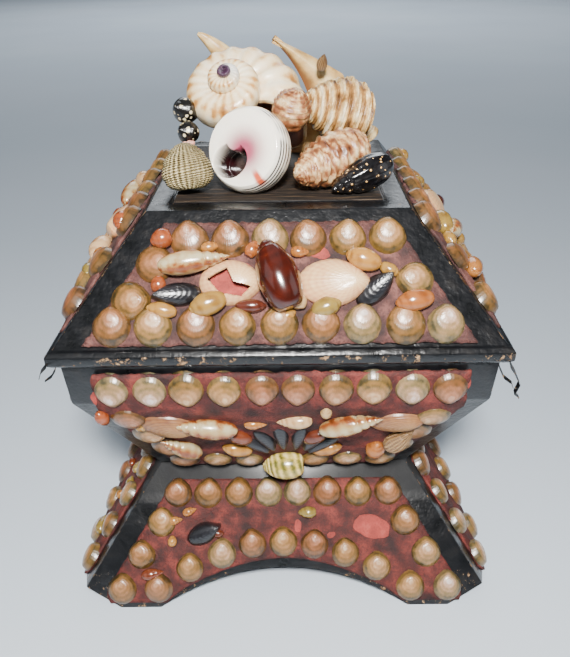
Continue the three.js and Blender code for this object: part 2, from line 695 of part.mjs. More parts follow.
// A round shell with its white mouth towards the front and a hollow beside the mouth's middle
function moonShell(grow) {
  const { radius, mouth, mouthReach, back, centre } = moon;
  const turned = new THREE.Quaternion().setFromUnitVectors(new THREE.Vector3(0, 1, 0), moonAim);
  const turnedSolid = (profile, sideCount, place) => {
    const geometry = new THREE.LatheGeometry(profile, sideCount);
    geometry.applyQuaternion(turned);
    geometry.translate(...place);
    return solidOf(geometry);
  };
  const shell = turnedSolid(
    [
      new THREE.Vector2(0, -back - grow),
      new THREE.Vector2(radius * 0.55 + grow, -back * 0.85),
      new THREE.Vector2(radius * 0.9 + grow, -back * 0.42),
      new THREE.Vector2(radius + grow, 0),
      new THREE.Vector2(mouth + grow, mouthReach + grow),
      new THREE.Vector2(0, mouthReach + grow),
    ],
    moon.sides,
    centre,
  );
  if (grow > 0) return shell;
  const floor = mouthReach - moonHollow.depth;
  const hollow = turnedSolid(
    [
      new THREE.Vector2(0, floor - moonHollow.waist),
      new THREE.Vector2(moonHollow.floor, floor - moonHollow.floor),
      new THREE.Vector2(moonHollow.throat, floor + moonHollow.floor),
      new THREE.Vector2(moonHollow.opening, mouthReach + moonHollow.floor),
      new THREE.Vector2(0, mouthReach + moonHollow.floor),
    ],
    moonHollow.sides,
    moonHollow.centre,
  );
  return shell.subtract(hollow);
}

// A pointed, curved fragment standing on its edge behind the frilled shell
function bladeShell(grow) {
  const shape = new THREE.Shape();
  shape.moveTo(4, 0);
  shape.lineTo(38, 0);
  shape.quadraticCurveTo(40, 24, 32, 38);
  shape.quadraticCurveTo(20, 51, -1.5, 52.5 + grow);
  shape.quadraticCurveTo(12, 40, 14, 26);
  shape.quadraticCurveTo(12, 10, 4, 0);
  const depth = blade.thickness + 2 * grow;
  const options = { depth, bevelEnabled: false, curveSegments: blade.bendSteps };
  const geometry = new THREE.ExtrudeGeometry(shape, options);
  geometry.translate(0, 0, -depth / 2);
  geometry.rotateX(quarter + degrees(blade.tilt));
  geometry.rotateZ(degrees(blade.turn));
  geometry.translate(0, blade.back, 0);
  return solidOf(geometry);
}

function flatValve(grow) {
  const { radius, rise } = lostValve;
  const profile = [
    new THREE.Vector2(0, -grow),
    new THREE.Vector2(radius + grow, -grow),
    new THREE.Vector2(radius * 0.7 + grow, rise * 0.7),
    new THREE.Vector2(0, rise + grow),
  ];
  const geometry = new THREE.LatheGeometry(profile, lostValve.sides);
  geometry.rotateX(quarter);
  geometry.rotateY(degrees(lostValve.tilt));
  geometry.translate(...lostValve.centre);
  return solidOf(geometry);
}

function makeCluster(parent) {
  const group = new THREE.Group();
  group.position.z = pyramidTop;
  parent.add(group);
  const under = block(2 * flatWidth, 2 * flatWidth, flatWidth, 0, 0, seatGap - flatHalf);
  const standing = [];
  for (const shell of clusterShells) {
    const solid = cut(shell.build(0), [under, ...standing.map((other) => other.build(seatGap))]);
    addPiece(group, shell.name, solid, shell.material);
    standing.push(shell);
  }
}

const box = new THREE.Group();
const lid = new THREE.Group();
lid.position.z = lidZ;
box.add(lid);
makePlinth(box);
makeBody(box);
makeLid(lid);
sides.forEach((name, side) => {
  makePlinthFace(box, side);
  makeBodyFace(box, side);
  makeLidFace(lid, side);
});
makeCluster(lid);

export default box;
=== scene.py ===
import random
from math import atan2, cos, hypot, pi, radians, sin, sqrt

import bmesh
import bpy
from mathutils import Matrix, Vector, noise


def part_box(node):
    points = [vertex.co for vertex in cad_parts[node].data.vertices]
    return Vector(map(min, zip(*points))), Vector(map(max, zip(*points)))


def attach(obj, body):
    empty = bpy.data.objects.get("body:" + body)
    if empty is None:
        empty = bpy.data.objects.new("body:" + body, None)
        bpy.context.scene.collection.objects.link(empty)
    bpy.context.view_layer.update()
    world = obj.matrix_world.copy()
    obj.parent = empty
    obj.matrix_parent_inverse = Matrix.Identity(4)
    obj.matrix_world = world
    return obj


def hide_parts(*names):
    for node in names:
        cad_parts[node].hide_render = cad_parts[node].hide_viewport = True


# Shell box: black japanned paper over boards, small shells set in coloured putty, larger shells on the lid.
# Metres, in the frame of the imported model.
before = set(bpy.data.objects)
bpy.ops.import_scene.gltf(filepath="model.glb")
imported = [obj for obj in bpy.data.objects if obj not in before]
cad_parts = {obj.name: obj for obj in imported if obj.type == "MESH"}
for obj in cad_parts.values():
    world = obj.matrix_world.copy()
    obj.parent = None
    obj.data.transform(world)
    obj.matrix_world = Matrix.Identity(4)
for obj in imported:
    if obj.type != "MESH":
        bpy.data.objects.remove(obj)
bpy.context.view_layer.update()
mm = 0.001
quarter = pi / 2
sideNames = ("front", "right", "back", "left")
dice = random.Random(11)

carcass = {
    "waistHalf": 59 * mm,  # top of the plinth, bottom of the box
    "shoulderHalf": 85 * mm,  # fold of the box
    "shoulderZ": 109.3 * mm,
    "ledge": 2.5 * mm,  # from the bead in to the pyramid
    "rimHeight": 7 * mm,
    "flatHalf": 52.5 * mm,
    "edgeRound": 0.55 * mm,  # paper folded over the board's edge
    "sharpAngle": 22,  # edges over this many degrees are rounded
}
puttyLook = {
    "gap": 0.3 * mm,
    "depth": 2.0 * mm,
    "hipMargin": 11 * mm,
    "lump": 5.5 * mm,  # size of the lumps that fingers left
    "lumpHeight": 0.45 * mm,
    "grain": 1.3 * mm,
    "grainHeight": 0.16 * mm,
    "waver": 0.8 * mm,  # how far the edge strays
    "waverSize": 2.5 * mm,
    "border": 1 / 14,  # share of the face in which the edge runs out
    "tall": 0.7,  # and how much of it counts up the slope
    "edgeDrop": 0.55,  # shares of the depth
    "skin": 0.7,
    "columns": 110,
    "rows": 34,
}
puttyTop = puttyLook["gap"] + puttyLook["depth"]

plinthLow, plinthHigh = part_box("plinth")
bodyLow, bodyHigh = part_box("box_body")
lidLow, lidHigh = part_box("lid")
flatZ = lidHigh.z
levels = {
    "plinth": [(plinthHigh.x, plinthLow.z), (carcass["waistHalf"], plinthHigh.z)],
    "body": [
        (carcass["waistHalf"], bodyLow.z),
        (carcass["shoulderHalf"], carcass["shoulderZ"]),
        (bodyHigh.x, bodyHigh.z),
    ],
    "lid": [(lidHigh.x - carcass["ledge"], lidLow.z + carcass["rimHeight"]), (carcass["flatHalf"], flatZ)],
}


def slopeLength(face, part=0):
    (lowHalf, lowZ), (highHalf, highZ) = levels[face][part:part + 2]
    return hypot(lowHalf - highHalf, highZ - lowZ)


def turnBy(degrees, axis="Z"):
    return Matrix.Rotation(radians(degrees), 4, axis)


def addObject(name, data):
    item = bpy.data.objects.new(name, data)
    bpy.context.scene.collection.objects.link(item)
    return item


# Which board of a face a distance up its slope falls on
def boardAt(face, y):
    part = 0
    while part < len(levels[face]) - 2 and y > slopeLength(face, part):
        y -= slopeLength(face, part)
        part += 1
    return part, y


def halfAt(face, y):
    part, y = boardAt(face, y)
    (lowHalf, lowZ), (highHalf, highZ) = levels[face][part:part + 2]
    return lowHalf + (highHalf - lowHalf) * y / slopeLength(face, part)


# A place on a face: x level from its middle, y up the slope, Z out of the face
def spot(face, side, x, y, lift=0.0):
    part, y = boardAt(face, y)
    (lowHalf, lowZ), (highHalf, highZ) = levels[face][part:part + 2]
    lean = Matrix.Rotation(atan2(highZ - lowZ, lowHalf - highHalf), 4, "X")
    corner = Matrix.Translation((0, -lowHalf, lowZ))
    return Matrix.Rotation(side * quarter, 4, "Z") @ corner @ lean @ Matrix.Translation((x, y, lift))


# sRGB hex to linear
def linear(code):
    channels = [int(code[start:start + 2], 16) / 255 for start in (1, 3, 5)]
    return [c / 12.92 if c <= 0.04045 else ((c + 0.055) / 1.055) ** 2.4 for c in channels] + [1.0]


# Adds a node and gives one of its outputs, or the node itself: settings are its properties or, by number or
# name, its sockets, and "stops" a ramp's colours
def addNode(tree, kind, settings=None, links=None, output=0):
    node = tree.nodes.new("ShaderNode" + kind)
    for key, value in (settings or {}).items():
        if key == "stops":
            ramp = node.color_ramp
            for number, (place, code) in enumerate(value):
                stop = ramp.elements[number] if number < 2 else ramp.elements.new(place)
                stop.position = place
                stop.color = linear(code)
        elif isinstance(key, int) or key in node.inputs:
            node.inputs[key].default_value = value
        else:
            setattr(node, key, value)
    for socket, source in (links or {}).items():
        tree.links.new(source, node.inputs[socket])
    return node if output is None else node.outputs[output]


def mathOf(tree, operation, *values):
    return addNode(tree, "Math", {"operation": operation}, dict(enumerate(values)))


def noiseOf(tree, place, size, detail, roughness=0.5):
    settings = {"Scale": 1 / size, "Detail": detail, "Roughness": roughness}
    return addNode(tree, "TexNoise", settings, {"Vector": place})


def rangeOf(tree, value, low, high, start, end):
    return addNode(tree, "MapRange", {1: low, 2: high, 3: start, 4: end}, {0: value})


def rampOf(tree, value, stops):
    return addNode(tree, "ValToRGB", {"stops": stops}, {0: value})


# Lays a colour over another one by an amount
def cover(tree, amount, under, code):
    return addNode(tree, "Mix", {"data_type": "RGBA", 7: linear(code)}, {0: amount, 6: under}, 2)


def painted(tree, name):
    return addNode(tree, "Attribute", {"attribute_name": name}, output="Fac")


def sumOf(tree, terms, start=0.0):
    total = None
    for output, weight in terms:
        settings = {"operation": "MULTIPLY_ADD", 1: weight, 2: start if total is None else 0.0}
        total = addNode(tree, "Math", settings, {0: output} if total is None else {0: output, 2: total})
    return total


# Stripes from 0 to 1, so many for each unit of a coordinate, bent by a cloud
def stripes(tree, coordinate, count, wobble, cloud):
    phase = sumOf(tree, [(coordinate, count * 2 * pi), (cloud, wobble)])
    return sumOf(tree, [(mathOf(tree, "SINE", phase), 0.5)], 0.5)


# Gives the material, its tree and the object's coordinates in it
def startMaterial(name):
    material = bpy.data.materials.new(name)
    material.use_nodes = True
    tree = material.node_tree
    tree.nodes.clear()
    return material, tree, addNode(tree, "TexCoord", output="Object")


# Ends a material: what is the same all over is set on the shader, the rest is linked
def endMaterial(tree, finish, colour, height, distance, rough=None):
    bump = addNode(tree, "Bump", {"Distance": distance, "Strength": 1.0}, {"Height": height})
    links = {"Base Color": colour, "Normal": bump}
    if rough:
        links["Roughness"] = rough
    shader = addNode(tree, "BsdfPrincipled", finish, links)
    addNode(tree, "OutputMaterial", {}, {"Surface": shader}, None)


# Shell surface, a material and its slot: growth runs from the beak or apex along V, and U runs round the
# mouth or the rim
def shellSurface(name, look):
    material, tree, place = startMaterial(name)
    uv = addNode(tree, "UVMap", {"uv_map": "growth"})
    across, along = addNode(tree, "SeparateXYZ", {}, {0: uv}, None).outputs[:2]
    cloud = noiseOf(tree, place, look.get("cloud", 4 * mm), 4.0, 0.6)
    grain = noiseOf(tree, place, look.get("grain", 0.5 * mm), 3.0)
    growth = stripes(tree, along, look.get("growthLines", 6), look.get("wobble", 3), cloud)
    ribs = stripes(tree, across, look.get("ribs", 12), look.get("ribWobble", 0.6), cloud)
    tints = {"fade": along, "growthTint": growth, "ribTint": ribs}
    terms = [(output, look.get(key, 0)) for key, output in tints.items()]
    terms.append((cloud, look.get("cloudTint", 0.5)))
    colour = rampOf(tree, sumOf(tree, terms, look.get("bias", 0.0)), look["stops"])
    if "tones" in look:
        tint = rampOf(tree, painted(tree, "tone"), look["tones"])
        settings = {"data_type": "RGBA", "blend_type": "MULTIPLY", 0: 1.0}
        colour = addNode(tree, "Mix", settings, {6: colour, 7: tint}, 2)
    if "spots" in look:
        spots = look["spots"]
        dots = addNode(tree, "TexVoronoi", {"Scale": 1 / spots["pitch"]}, {"Vector": place})
        bent = sumOf(tree, [(dots, 1.0), (grain, 0.25)], -0.12)
        mask = addNode(tree, "Math", {"operation": "LESS_THAN", 1: spots["reach"]}, {0: bent})
        colour = cover(tree, mask, colour, spots["colour"])
    # painted colour layers; the moon shell's near-black layer holds its real back lines and painted shade in
    # its gap
    for layer in ("streak", "blush", "stripesAndShade"):
        if layer in look:
            colour = cover(tree, painted(tree, layer), colour, look[layer])
    if "inside" in look:
        inner = addNode(tree, "Math", {"operation": "LESS_THAN", 1: -0.001}, {0: along})
        colour = cover(tree, inner, colour, look["inside"])
    bumps = [(growth, look.get("growthBump", 0.5)), (ribs, look.get("ribBump", 0.2)), (grain, 0.3)]
    finish = {
        "Roughness": look.get("roughness", 0.38),
        "IOR": 1.53,  # aragonite
        "Coat Weight": look.get("coat", 0.15),
        "Coat Roughness": 0.2,
        "Subsurface Weight": look.get("glow", 0.08),
        "Subsurface Radius": (2 * mm, 1.2 * mm, 0.8 * mm),
    }
    endMaterial(tree, finish, colour, sumOf(tree, bumps), look.get("relief", 0.25 * mm))
    return material, look["slot"]


# Japanned paper: lampblack varnish on paper, nearly black and glossy over a pebbled, blistered skin,
# rubbed through to straw board along the hips, the bead and the feet
def makeJapannedPaper():
    look = {
        "pebble": 1.5 * mm, "blister": 7 * mm, "fleck": 2.6 * mm, "hip": 1.1 * mm, "bead": 1.0 * mm,
        "foot": 2.5 * mm,
        "neck": 50 * mm, "dustFrom": 7 * mm, "dustTo": 12 * mm,  # never polished under the body
    }
    material, tree, place = startMaterial("japannedPaper")
    x, y, z = addNode(tree, "SeparateXYZ", {}, {0: place}, None).outputs
    asideX, asideY = mathOf(tree, "ABSOLUTE", x), mathOf(tree, "ABSOLUTE", y)
    pebble = noiseOf(tree, place, look["pebble"], 3.0)
    blister = noiseOf(tree, place, look["blister"], 5.0)
    fleck = noiseOf(tree, place, look["fleck"], 6.0, 0.7)
    apart = mathOf(tree, "ABSOLUTE", mathOf(tree, "SUBTRACT", asideX, asideY))
    hip = rangeOf(tree, apart, 0.0, look["hip"], 1.0, 0.0)
    outer = mathOf(tree, "MAXIMUM", asideX, asideY)
    bead = rangeOf(tree, outer, lidHigh.x - look["bead"], lidHigh.x, 0.0, 0.85)
    foot = rangeOf(tree, z, look["foot"], 0.0, 0.0, 0.9)
    edge = mathOf(tree, "MAXIMUM", mathOf(tree, "MAXIMUM", hip, bead), foot)
    worn = rangeOf(tree, sumOf(tree, [(edge, 0.34), (fleck, 1.0)]), 0.86, 0.93, 0.0, 1.0)
    black = rampOf(tree, blister, [(0.3, "#050607"), (0.55, "#0b0c0f"), (0.75, "#151312")])
    board = rampOf(tree, pebble, [(0.3, "#6e4a2c"), (0.7, "#b89468")])
    colour = addNode(tree, "Mix", {"data_type": "RGBA"}, {0: worn, 6: black, 7: board}, 2)
    offNeck = mathOf(tree, "ABSOLUTE", sumOf(tree, [(z, 1.0)], -look["neck"]))
    dusty = rangeOf(tree, offNeck, look["dustTo"], look["dustFrom"], 0.0, 1.0)
    rough = sumOf(tree, [(blister, 0.3), (worn, 0.4), (dusty, 0.45)], 0.17)
    height = sumOf(tree, [(pebble, 0.35), (blister, 1.0), (worn, -0.3)])
    finish = {"IOR": 1.5, "Coat Weight": 0.25, "Coat Roughness": 0.22}
    endMaterial(tree, finish, colour, height, 0.55 * mm, rough)
    return material


# Putty: whiting and oil stained with red, matt and crumbly, darker in the hollows of its crumbly bump
def puttySurface(name, slot, stops, crumbDarkening):
    look = {"blotch": 7 * mm, "crumb": 0.9 * mm, "crumbDarkening": "#3a1c1a"}
    material, tree, place = startMaterial(name)
    blotch, crumb = noiseOf(tree, place, look["blotch"], 6.0), noiseOf(tree, place, look["crumb"], 4.0)
    colour = rampOf(tree, sumOf(tree, [(blotch, 1.2), (crumb, 0.25)], -0.22), stops)
    # darker where the crumb noise, which is also the bump, is low
    colour = cover(tree, rangeOf(tree, crumb, 0.5, 0.3, 0.0, crumbDarkening), colour, look["crumbDarkening"])
    finish = {
        "Roughness": 0.78, "IOR": 1.48, "Subsurface Weight": 0.05,
        "Subsurface Radius": (mm, 0.4 * mm, 0.3 * mm),
    }
    endMaterial(tree, finish, colour, sumOf(tree, [(crumb, 1.0), (blotch, 0.8)]), 0.5 * mm)
    return material, slot


# Bare pine board under the lost paper: grain drawn out across the lid, dull and dirty
def makeWornPine():
    material, tree, place = startMaterial("wornPine")
    stretched = addNode(tree, "Mapping", {"Scale": (0.06, 1.0, 1.0)}, {"Vector": place})
    grain = noiseOf(tree, stretched, 1.1 * mm, 5.0)
    colour = rampOf(tree, grain, [(0.34, "#0c0a09"), (0.55, "#211913"), (0.74, "#5a4630")])
    endMaterial(tree, {"Roughness": 0.62, "IOR": 1.5}, colour, grain, 0.5 * mm)
    return material


# Every piece ends here: its place in the mesh, its surface and body, and the imported nodes it stands for
def finishPiece(name, bm, surface, nodes=(), smoothAngle=60, matrix=Matrix()):
    bmesh.ops.transform(bm, matrix=matrix, verts=bm.verts)
    mesh = bpy.data.meshes.new(name)
    bm.to_mesh(mesh)
    bm.free()
    mesh.materials.append(surface[0])
    mesh.shade_smooth()
    mesh.set_sharp_from_angle(angle=radians(smoothAngle))
    piece = addObject(name, mesh)
    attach(piece, "root")
    if nodes:
        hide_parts(*nodes)


def outward(bm):
    bmesh.ops.recalc_face_normals(bm, faces=bm.faces)


def thicken(bm, thickness):
    bmesh.ops.solidify(bm, geom=bm.faces, thickness=thickness)


def growthLayers(bm):
    column, along = bm.verts.layers.int.new("column"), bm.verts.layers.float.new("along")
    bm.verts.layers.float.new("tone")
    return column, along


# UV from the layers. U runs round the ring, without a jump at its seam, and V along the growth.
# On a coil V runs round it and U climbs from whorl to whorl.
def unwrapGrowth(bm, columns, coiled=False, shift=0.0):
    column = bm.verts.layers.int["column"]
    along = bm.verts.layers.float["along"]
    uv = bm.loops.layers.uv.new("growth")
    for face in bm.faces:
        numbers = [loop.vert[column] for loop in face.loops]
        wraps = max(numbers) - min(numbers) > columns / 2
        for loop, number in zip(face.loops, numbers):
            lap = (number + columns if wraps and number < columns / 2 else number) / columns
            place = loop.vert[along]
            loop[uv].uv = (place - lap + shift, lap) if coiled else (lap, place)


# The first ring of a shell, its vertices numbered round, with a cap where it is closed
def startRing(bm, column, columns, capped=True):
    verts = bmesh.ops.create_circle(bm, segments=columns, radius=1)["verts"]
    for number, vert in enumerate(verts):
        vert[column] = number
    edges = list(bm.edges)
    if capped:
        bmesh.ops.contextual_create(bm, geom=edges)
    return edges, verts


def extrudeRing(bm, edges):
    grown = bmesh.ops.extrude_edge_only(bm, edges=edges)["geom"]
    verts = [part for part in grown if isinstance(part, bmesh.types.BMVert)]
    fresh = set(verts)
    edges = [part for part in grown if isinstance(part, bmesh.types.BMEdge)]
    return [edge for edge in edges if edge.verts[0] in fresh and edge.verts[1] in fresh], verts


def smooth(low, high, value):
    share = min(1.0, max(0.0, (value - low) / (high - low)))
    return share * share * (3 - 2 * share)


# A bivalve, open side down, its beak towards +X: the rim is extruded again and again towards the beak
def valveShell(look):
    bm = bmesh.new()
    column, along = growthLayers(bm)
    closed = look.get("closed", True)
    half = Vector((look["length"] / 2, look["width"] / 2))
    beak = Vector((look["beak"] * half.x, 0))
    edges, verts = startRing(bm, column, look["columns"], closed)
    rim = []
    for vert in verts:
        angle = atan2(vert.co.y, vert.co.x)
        vert[along] = 1.0
        pinch = 1 - look.get("pinch", 0.12) * max(0.0, cos(angle)) ** 2
        stretch = 1 + look.get("point", 0.05) * max(0.0, cos(angle)) ** 6
        ribbed = 1 + look.get("scallop", 0) * cos(look.get("ribs", 0) * angle)
        rim.append(Vector((cos(angle) * half.x * stretch, sin(angle) * half.y * pinch)) * ribbed)
        vert.co = (*rim[-1], -look.get("sink", 0))
    for row in range(1, look["rows"] + 1):
        share = 1 - (row / look["rows"]) ** look.get("spread", 1.15)
        edges, verts = extrudeRing(bm, edges)
        arch = (1 - share ** look.get("dome", 2.3)) ** look.get("round", 0.62)
        for vert in verts:
            edge = rim[vert[column]]
            place = beak + (edge - beak) * share
            ribbed = cos(look.get("ribs", 0) * atan2(edge.y, edge.x)) * share * (1 - share) * 4
            vert.co = (place.x, place.y, look["rise"] * arch + look.get("ribHeight", 0) * ribbed)
            vert[along] = share
    bmesh.ops.pointmerge(bm, verts=verts, merge_co=(beak.x, 0, look["rise"]))
    unwrapGrowth(bm, look["columns"])
    if closed:
        outward(bm)
    return bm


# The turban on its own axis, apex up: the mouth's ring is extruded back along the coil, turned about the axis
# and shrunk towards the apex at each step
def spiralShell(look):
    bm = bmesh.new()
    column, along = growthLayers(bm)
    perTurn, growth, lip = look["perTurn"], look["growth"], look["lip"]
    share = (growth - 1) / (growth + 1) / look["overlap"]
    drop = look["length"] / (1 + share)
    tall = drop * share
    reach = look["width"] / (1 + growth ** -0.5)  # the side across from the mouth is half a turn younger
    wide = reach / 2 * look["fat"]
    middle = Vector((reach - wide, 0, 0))
    apex = Vector((0, 0, drop))
    mouth, ring = startRing(bm, column, look["columns"], False)
    profile = []
    for number in range(look["columns"]):
        angle = number / look["columns"] * 2 * pi + pi
        across, up = cos(angle) * wide, sin(angle) * tall
        if up < 0:  # the base draws in towards the axis
            across -= look["tail"] * wide * (up / tall) ** 2
            up *= 1 + look["tail"] * 0.3
        shoulder = look["shoulder"] * max(0.0, sin(angle)) * max(0.0, cos(angle))
        profile.append(Vector((across + shoulder * wide, 0, up + shoulder * tall)))

    def put(verts, turn, size=1.0):
        scale = growth ** -turn
        wave = 0.5 + 0.5 * cos(2 * pi * look["ribs"] * turn)
        rib = 1 + look["ribDepth"] * wave * smooth(look["ribTurns"], look["ribTurns"] - 0.3, turn)
        twist = Matrix.Rotation(2 * pi * turn, 3, "Z")
        for vert in verts:
            outside = 1.0 if profile[vert[column]].x < 0 else rib
            point = middle + profile[vert[column]] * size * outside
            vert.co = twist @ (apex + (point - apex) * scale)

    def grow(edges, shown, turn, size=1.0):
        edges, verts = extrudeRing(bm, edges)
        put(verts, turn, size)
        for vert in verts:
            vert[along] = shown
        return edges

    put(ring, 0)
    edges = mouth
    for step in range(1, round(look["turns"] * perTurn) + 1):
        edges = grow(edges, step / perTurn, step / perTurn)
    bmesh.ops.contextual_create(bm, geom=edges)
    edges = grow(mouth, 0.0, -0.004, (1 + lip) / 2)
    for step, size in enumerate((lip, lip * 0.97, lip * 0.9, lip * 0.75)):
        edges = grow(edges, -0.02 * (step + 1), step * 0.05, size)
    bmesh.ops.contextual_create(bm, geom=edges)
    unwrapGrowth(bm, look["columns"])
    outward(bm)
    aside = reach * (1 - growth ** -0.5) / 2
    back = reach * (growth ** -0.25 - growth ** -0.75) / 2
    bmesh.ops.translate(bm, verts=bm.verts, vec=(-aside, -back, look["spire"] * look["length"] - drop))
    return bm


# A snail on its own axis, apex up, its mouth in the putty: rings are extruded from the base to the apex,
# and the whorls' bulges climb round it
def coiledShell(look):
    bm = bmesh.new()
    column, along = growthLayers(bm)
    columns, rows, whorls, growth = look["columns"], look["rows"], look["whorls"], look["growth"]
    base, crown = look["length"] * (1 - look["spire"]), look["length"] * look["spire"]
    low = -0.5 * whorls  # rows under the widest place, in whorls
    edges, verts = startRing(bm, column, columns)
    for row in range(rows + 1):
        if row:
            edges, verts = extrudeRing(bm, edges)
        turn = low + (whorls - low) * row / rows
        if turn < 0:
            angle = (1 - turn / low) * quarter
            height = -base * cos(angle)
            wide = look["neck"] + (1 - look["neck"]) * sin(angle)
        else:
            scale = max(0.0, (growth ** -turn - growth ** -whorls) / (1 - growth ** -whorls))
            height = crown * (1 - scale)
            wide = (1 - (1 - scale) ** 1.6) ** look.get("swell", 1)
        for vert in verts:
            lap = vert[column] / columns
            across = (turn - lap) % 1
            bulge = sqrt(4 * across * (1 - across))
            relief = 1 - look["suture"] * (1 - bulge) * smooth(0.5, 0.9, turn - lap)
            slanted = lap + look.get("slant", 0) * across
            rib = 0.5 + 0.5 * cos(2 * pi * look.get("ribs", 0) * slanted)
            relief += look.get("ribDepth", 0) * rib ** look.get("ribPower", 1) * bulge
            relief += look.get("cordDepth", 0) * cos(2 * pi * look.get("cords", 0) * across)
            relief += look.get("frill", 0) * across ** 4 * smooth(1, 0.93, across)
            around = 2 * pi * lap
            radius = look["width"] / 2 * wide * relief
            vert.co = (radius * cos(around), radius * sin(around), height)
            vert[along] = turn
    bmesh.ops.pointmerge(bm, verts=verts, merge_co=(0, 0, crown))
    unwrapGrowth(bm, columns, True, look.get("shift", 0.0))
    outward(bm)
    return bm


# Turns a shell's own axis, its apex or +Z, towards a direction, after spinning it about itself
def aimed(position, direction, spin=0.0):
    turn = Vector((0, 0, 1)).rotation_difference(Vector(direction)).to_matrix().to_4x4()
    return Matrix.Translation(position) @ turn @ turnBy(spin)


def headed(degrees):
    return aimed((0, 0, 0), (cos(radians(degrees)), sin(radians(degrees)), 0))


# Copies of a small template joined in one mesh, each with its own tone
def template(bm):
    mesh = bpy.data.meshes.new("template")
    bm.to_mesh(mesh)
    bm.free()
    return mesh


def layCopy(bm, source, matrix, tone):
    mesh = source.copy()
    mesh.transform(matrix)
    mesh.attributes["tone"].data.foreach_set("value", [tone] * len(mesh.vertices))
    bm.from_mesh(mesh)
    bpy.data.meshes.remove(mesh)


# Surfaces of the carcass and the putty
blackPaper = (makeJapannedPaper(), "black_paper")
puttyStops = {
    "pink": [(0.3, "#241312"), (0.5, "#432420"), (0.8, "#744840")],
    "red": [(0.3, "#220a09"), (0.5, "#481813"), (0.8, "#7a3128")],
    "plaster": [(0.3, "#742a23"), (0.6, "#963930"), (0.78, "#a85045")],
    "sand": [(0.3, "#a0604c"), (0.5, "#cf9080"), (0.7, "#e6b7a4")],
}
pinkPutty = puttySurface("pinkPutty", "pink_putty", puttyStops["pink"], 0.5)
redPutty = puttySurface("redPutty", "red_putty", puttyStops["red"], 0.5)
freshPlaster = puttySurface("freshPlaster", "red_putty", puttyStops["plaster"], 0.1)
wornPine = (makeWornPine(), "black_paper")

# Wedge clam: porcelain-like valve, pink at the beak, cream and greenish at the rim, darkest at the rim partly
# as painted shade where it meets the putty, with fine growth lines
clamShell = shellSurface("wedgeClam", {
    "slot": "cream_shell",
    # the dark olive end of the stops is partly the rim's own colour and partly painted shade where the valve
    # meets the putty
    "stops": [(0.02, "#e6ccb6"), (0.28, "#c99c78"), (0.5, "#a67e52"), (0.72, "#83693c"), (0.95, "#453d22")],
    "tones": [(0.0, "#b4948a"), (0.25, "#bea896"), (0.5, "#c2b698"), (0.78, "#d4ccb4"), (1.0, "#dde8ff")],
    "fade": 0.85, "cloudTint": 1.1, "bias": -0.56, "growthLines": 5, "growthTint": 0.14, "ribs": 30,
    "ribTint": 0.02, "cloud": 4.2 * mm, "relief": 0.12 * mm, "growthBump": 0.35, "roughness": 0.32,
    "coat": 0.3,
})
# Periwinkles and olives: glossy, banded along the whorls, each of its own colour
mixedSnail = shellSurface("periwinkle", {
    "slot": "tan_shell",
    "stops": [(0.15, "#6b4c38"), (0.35, "#c8ab84"), (0.7, "#fff2d8")],
    "tones": [(0.0, "#46201b"), (0.25, "#8c4a2c"), (0.5, "#a2793f"), (0.75, "#7f723c"), (1.0, "#c4a88c")],
    "growthLines": 3, "growthTint": 0.2, "ribs": 1, "ribTint": 0.3, "cloudTint": 0.6, "bias": 0.15,
    "relief": 0.08 * mm, "roughness": 0.2, "coat": 0.6, "cloud": 3 * mm,
})
print("materials of carcass, putty and small shells made")

# The boards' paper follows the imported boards, with soft folded edges
for node in ("plinth", "box_body", "lid"):
    bm = bmesh.new()
    bm.from_mesh(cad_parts[node].data)
    bmesh.ops.remove_doubles(bm, verts=bm.verts, dist=0.01 * mm)
    sharp = radians(carcass["sharpAngle"])
    edges = [edge for edge in bm.edges if len(edge.link_faces) == 2 and edge.calc_face_angle() > sharp]
    bmesh.ops.bevel(
        bm, geom=edges, offset=carcass["edgeRound"], affect="EDGES", segments=2, profile=0.5, material=-1,
        clamp_overlap=True,
    )
    finishPiece(node + "_paper", bm, blackPaper, [node], 40)

flatBoard = {"half": 42.6 * mm, "rise": 0.22 * mm}
bm = bmesh.new()
bmesh.ops.create_grid(bm, x_segments=2, y_segments=2, size=flatBoard["half"])
bmesh.ops.translate(bm, verts=bm.verts, vec=(0, 0, flatZ + flatBoard["rise"]))
thicken(bm, 2 * flatBoard["rise"])
outward(bm)
finishPiece("lid_flat_board", bm, wornPine)
print("boards papered")

panels = {
    "lid": {"low": 1.5, "top": 5.5, "putty": pinkPutty, "valve": 14.6, "shown": 15.6, "pitch": 15.6},
    "body": {"low": 3, "top": 3.4, "putty": redPutty, "valve": 14.6, "shown": 15.6, "pitch": 15.6},
    "plinth": {"low": 2.6, "top": 8, "putty": redPutty, "valve": 13.4, "shown": 14.2, "pitch": 14.6},
}
arch = {"halfSpan": 58 * mm, "rise": 14.3 * mm, "margin": 4.4 * mm, "outside": 1 * mm}
footCorner = {"x": 80 * mm, "y": 9.1 * mm}  # the putty's foot is cut off towards the worn corners


def panelTop(face):
    return sum(slopeLength(face, part) for part in range(len(levels[face]) - 1)) - panels[face]["top"] * mm


def hip(face, y):
    edge = halfAt(face, min(y, slopeLength(face))) - puttyLook["hipMargin"]
    if face == "plinth" and y < footCorner["y"]:
        edge -= (edge - footCorner["x"]) * (1 - y / footCorner["y"])
    return edge


# Height on the face of the arch's bare edge, measured up the slope
def archEdge(x):
    crown = arch["rise"] * slopeLength("plinth") / plinthHigh.z + arch["margin"]
    radius = (arch["halfSpan"] ** 2 + crown ** 2) / (2 * crown)
    if abs(x) >= arch["halfSpan"]:
        return 0.0
    return sqrt(radius ** 2 - x * x) - radius + crown


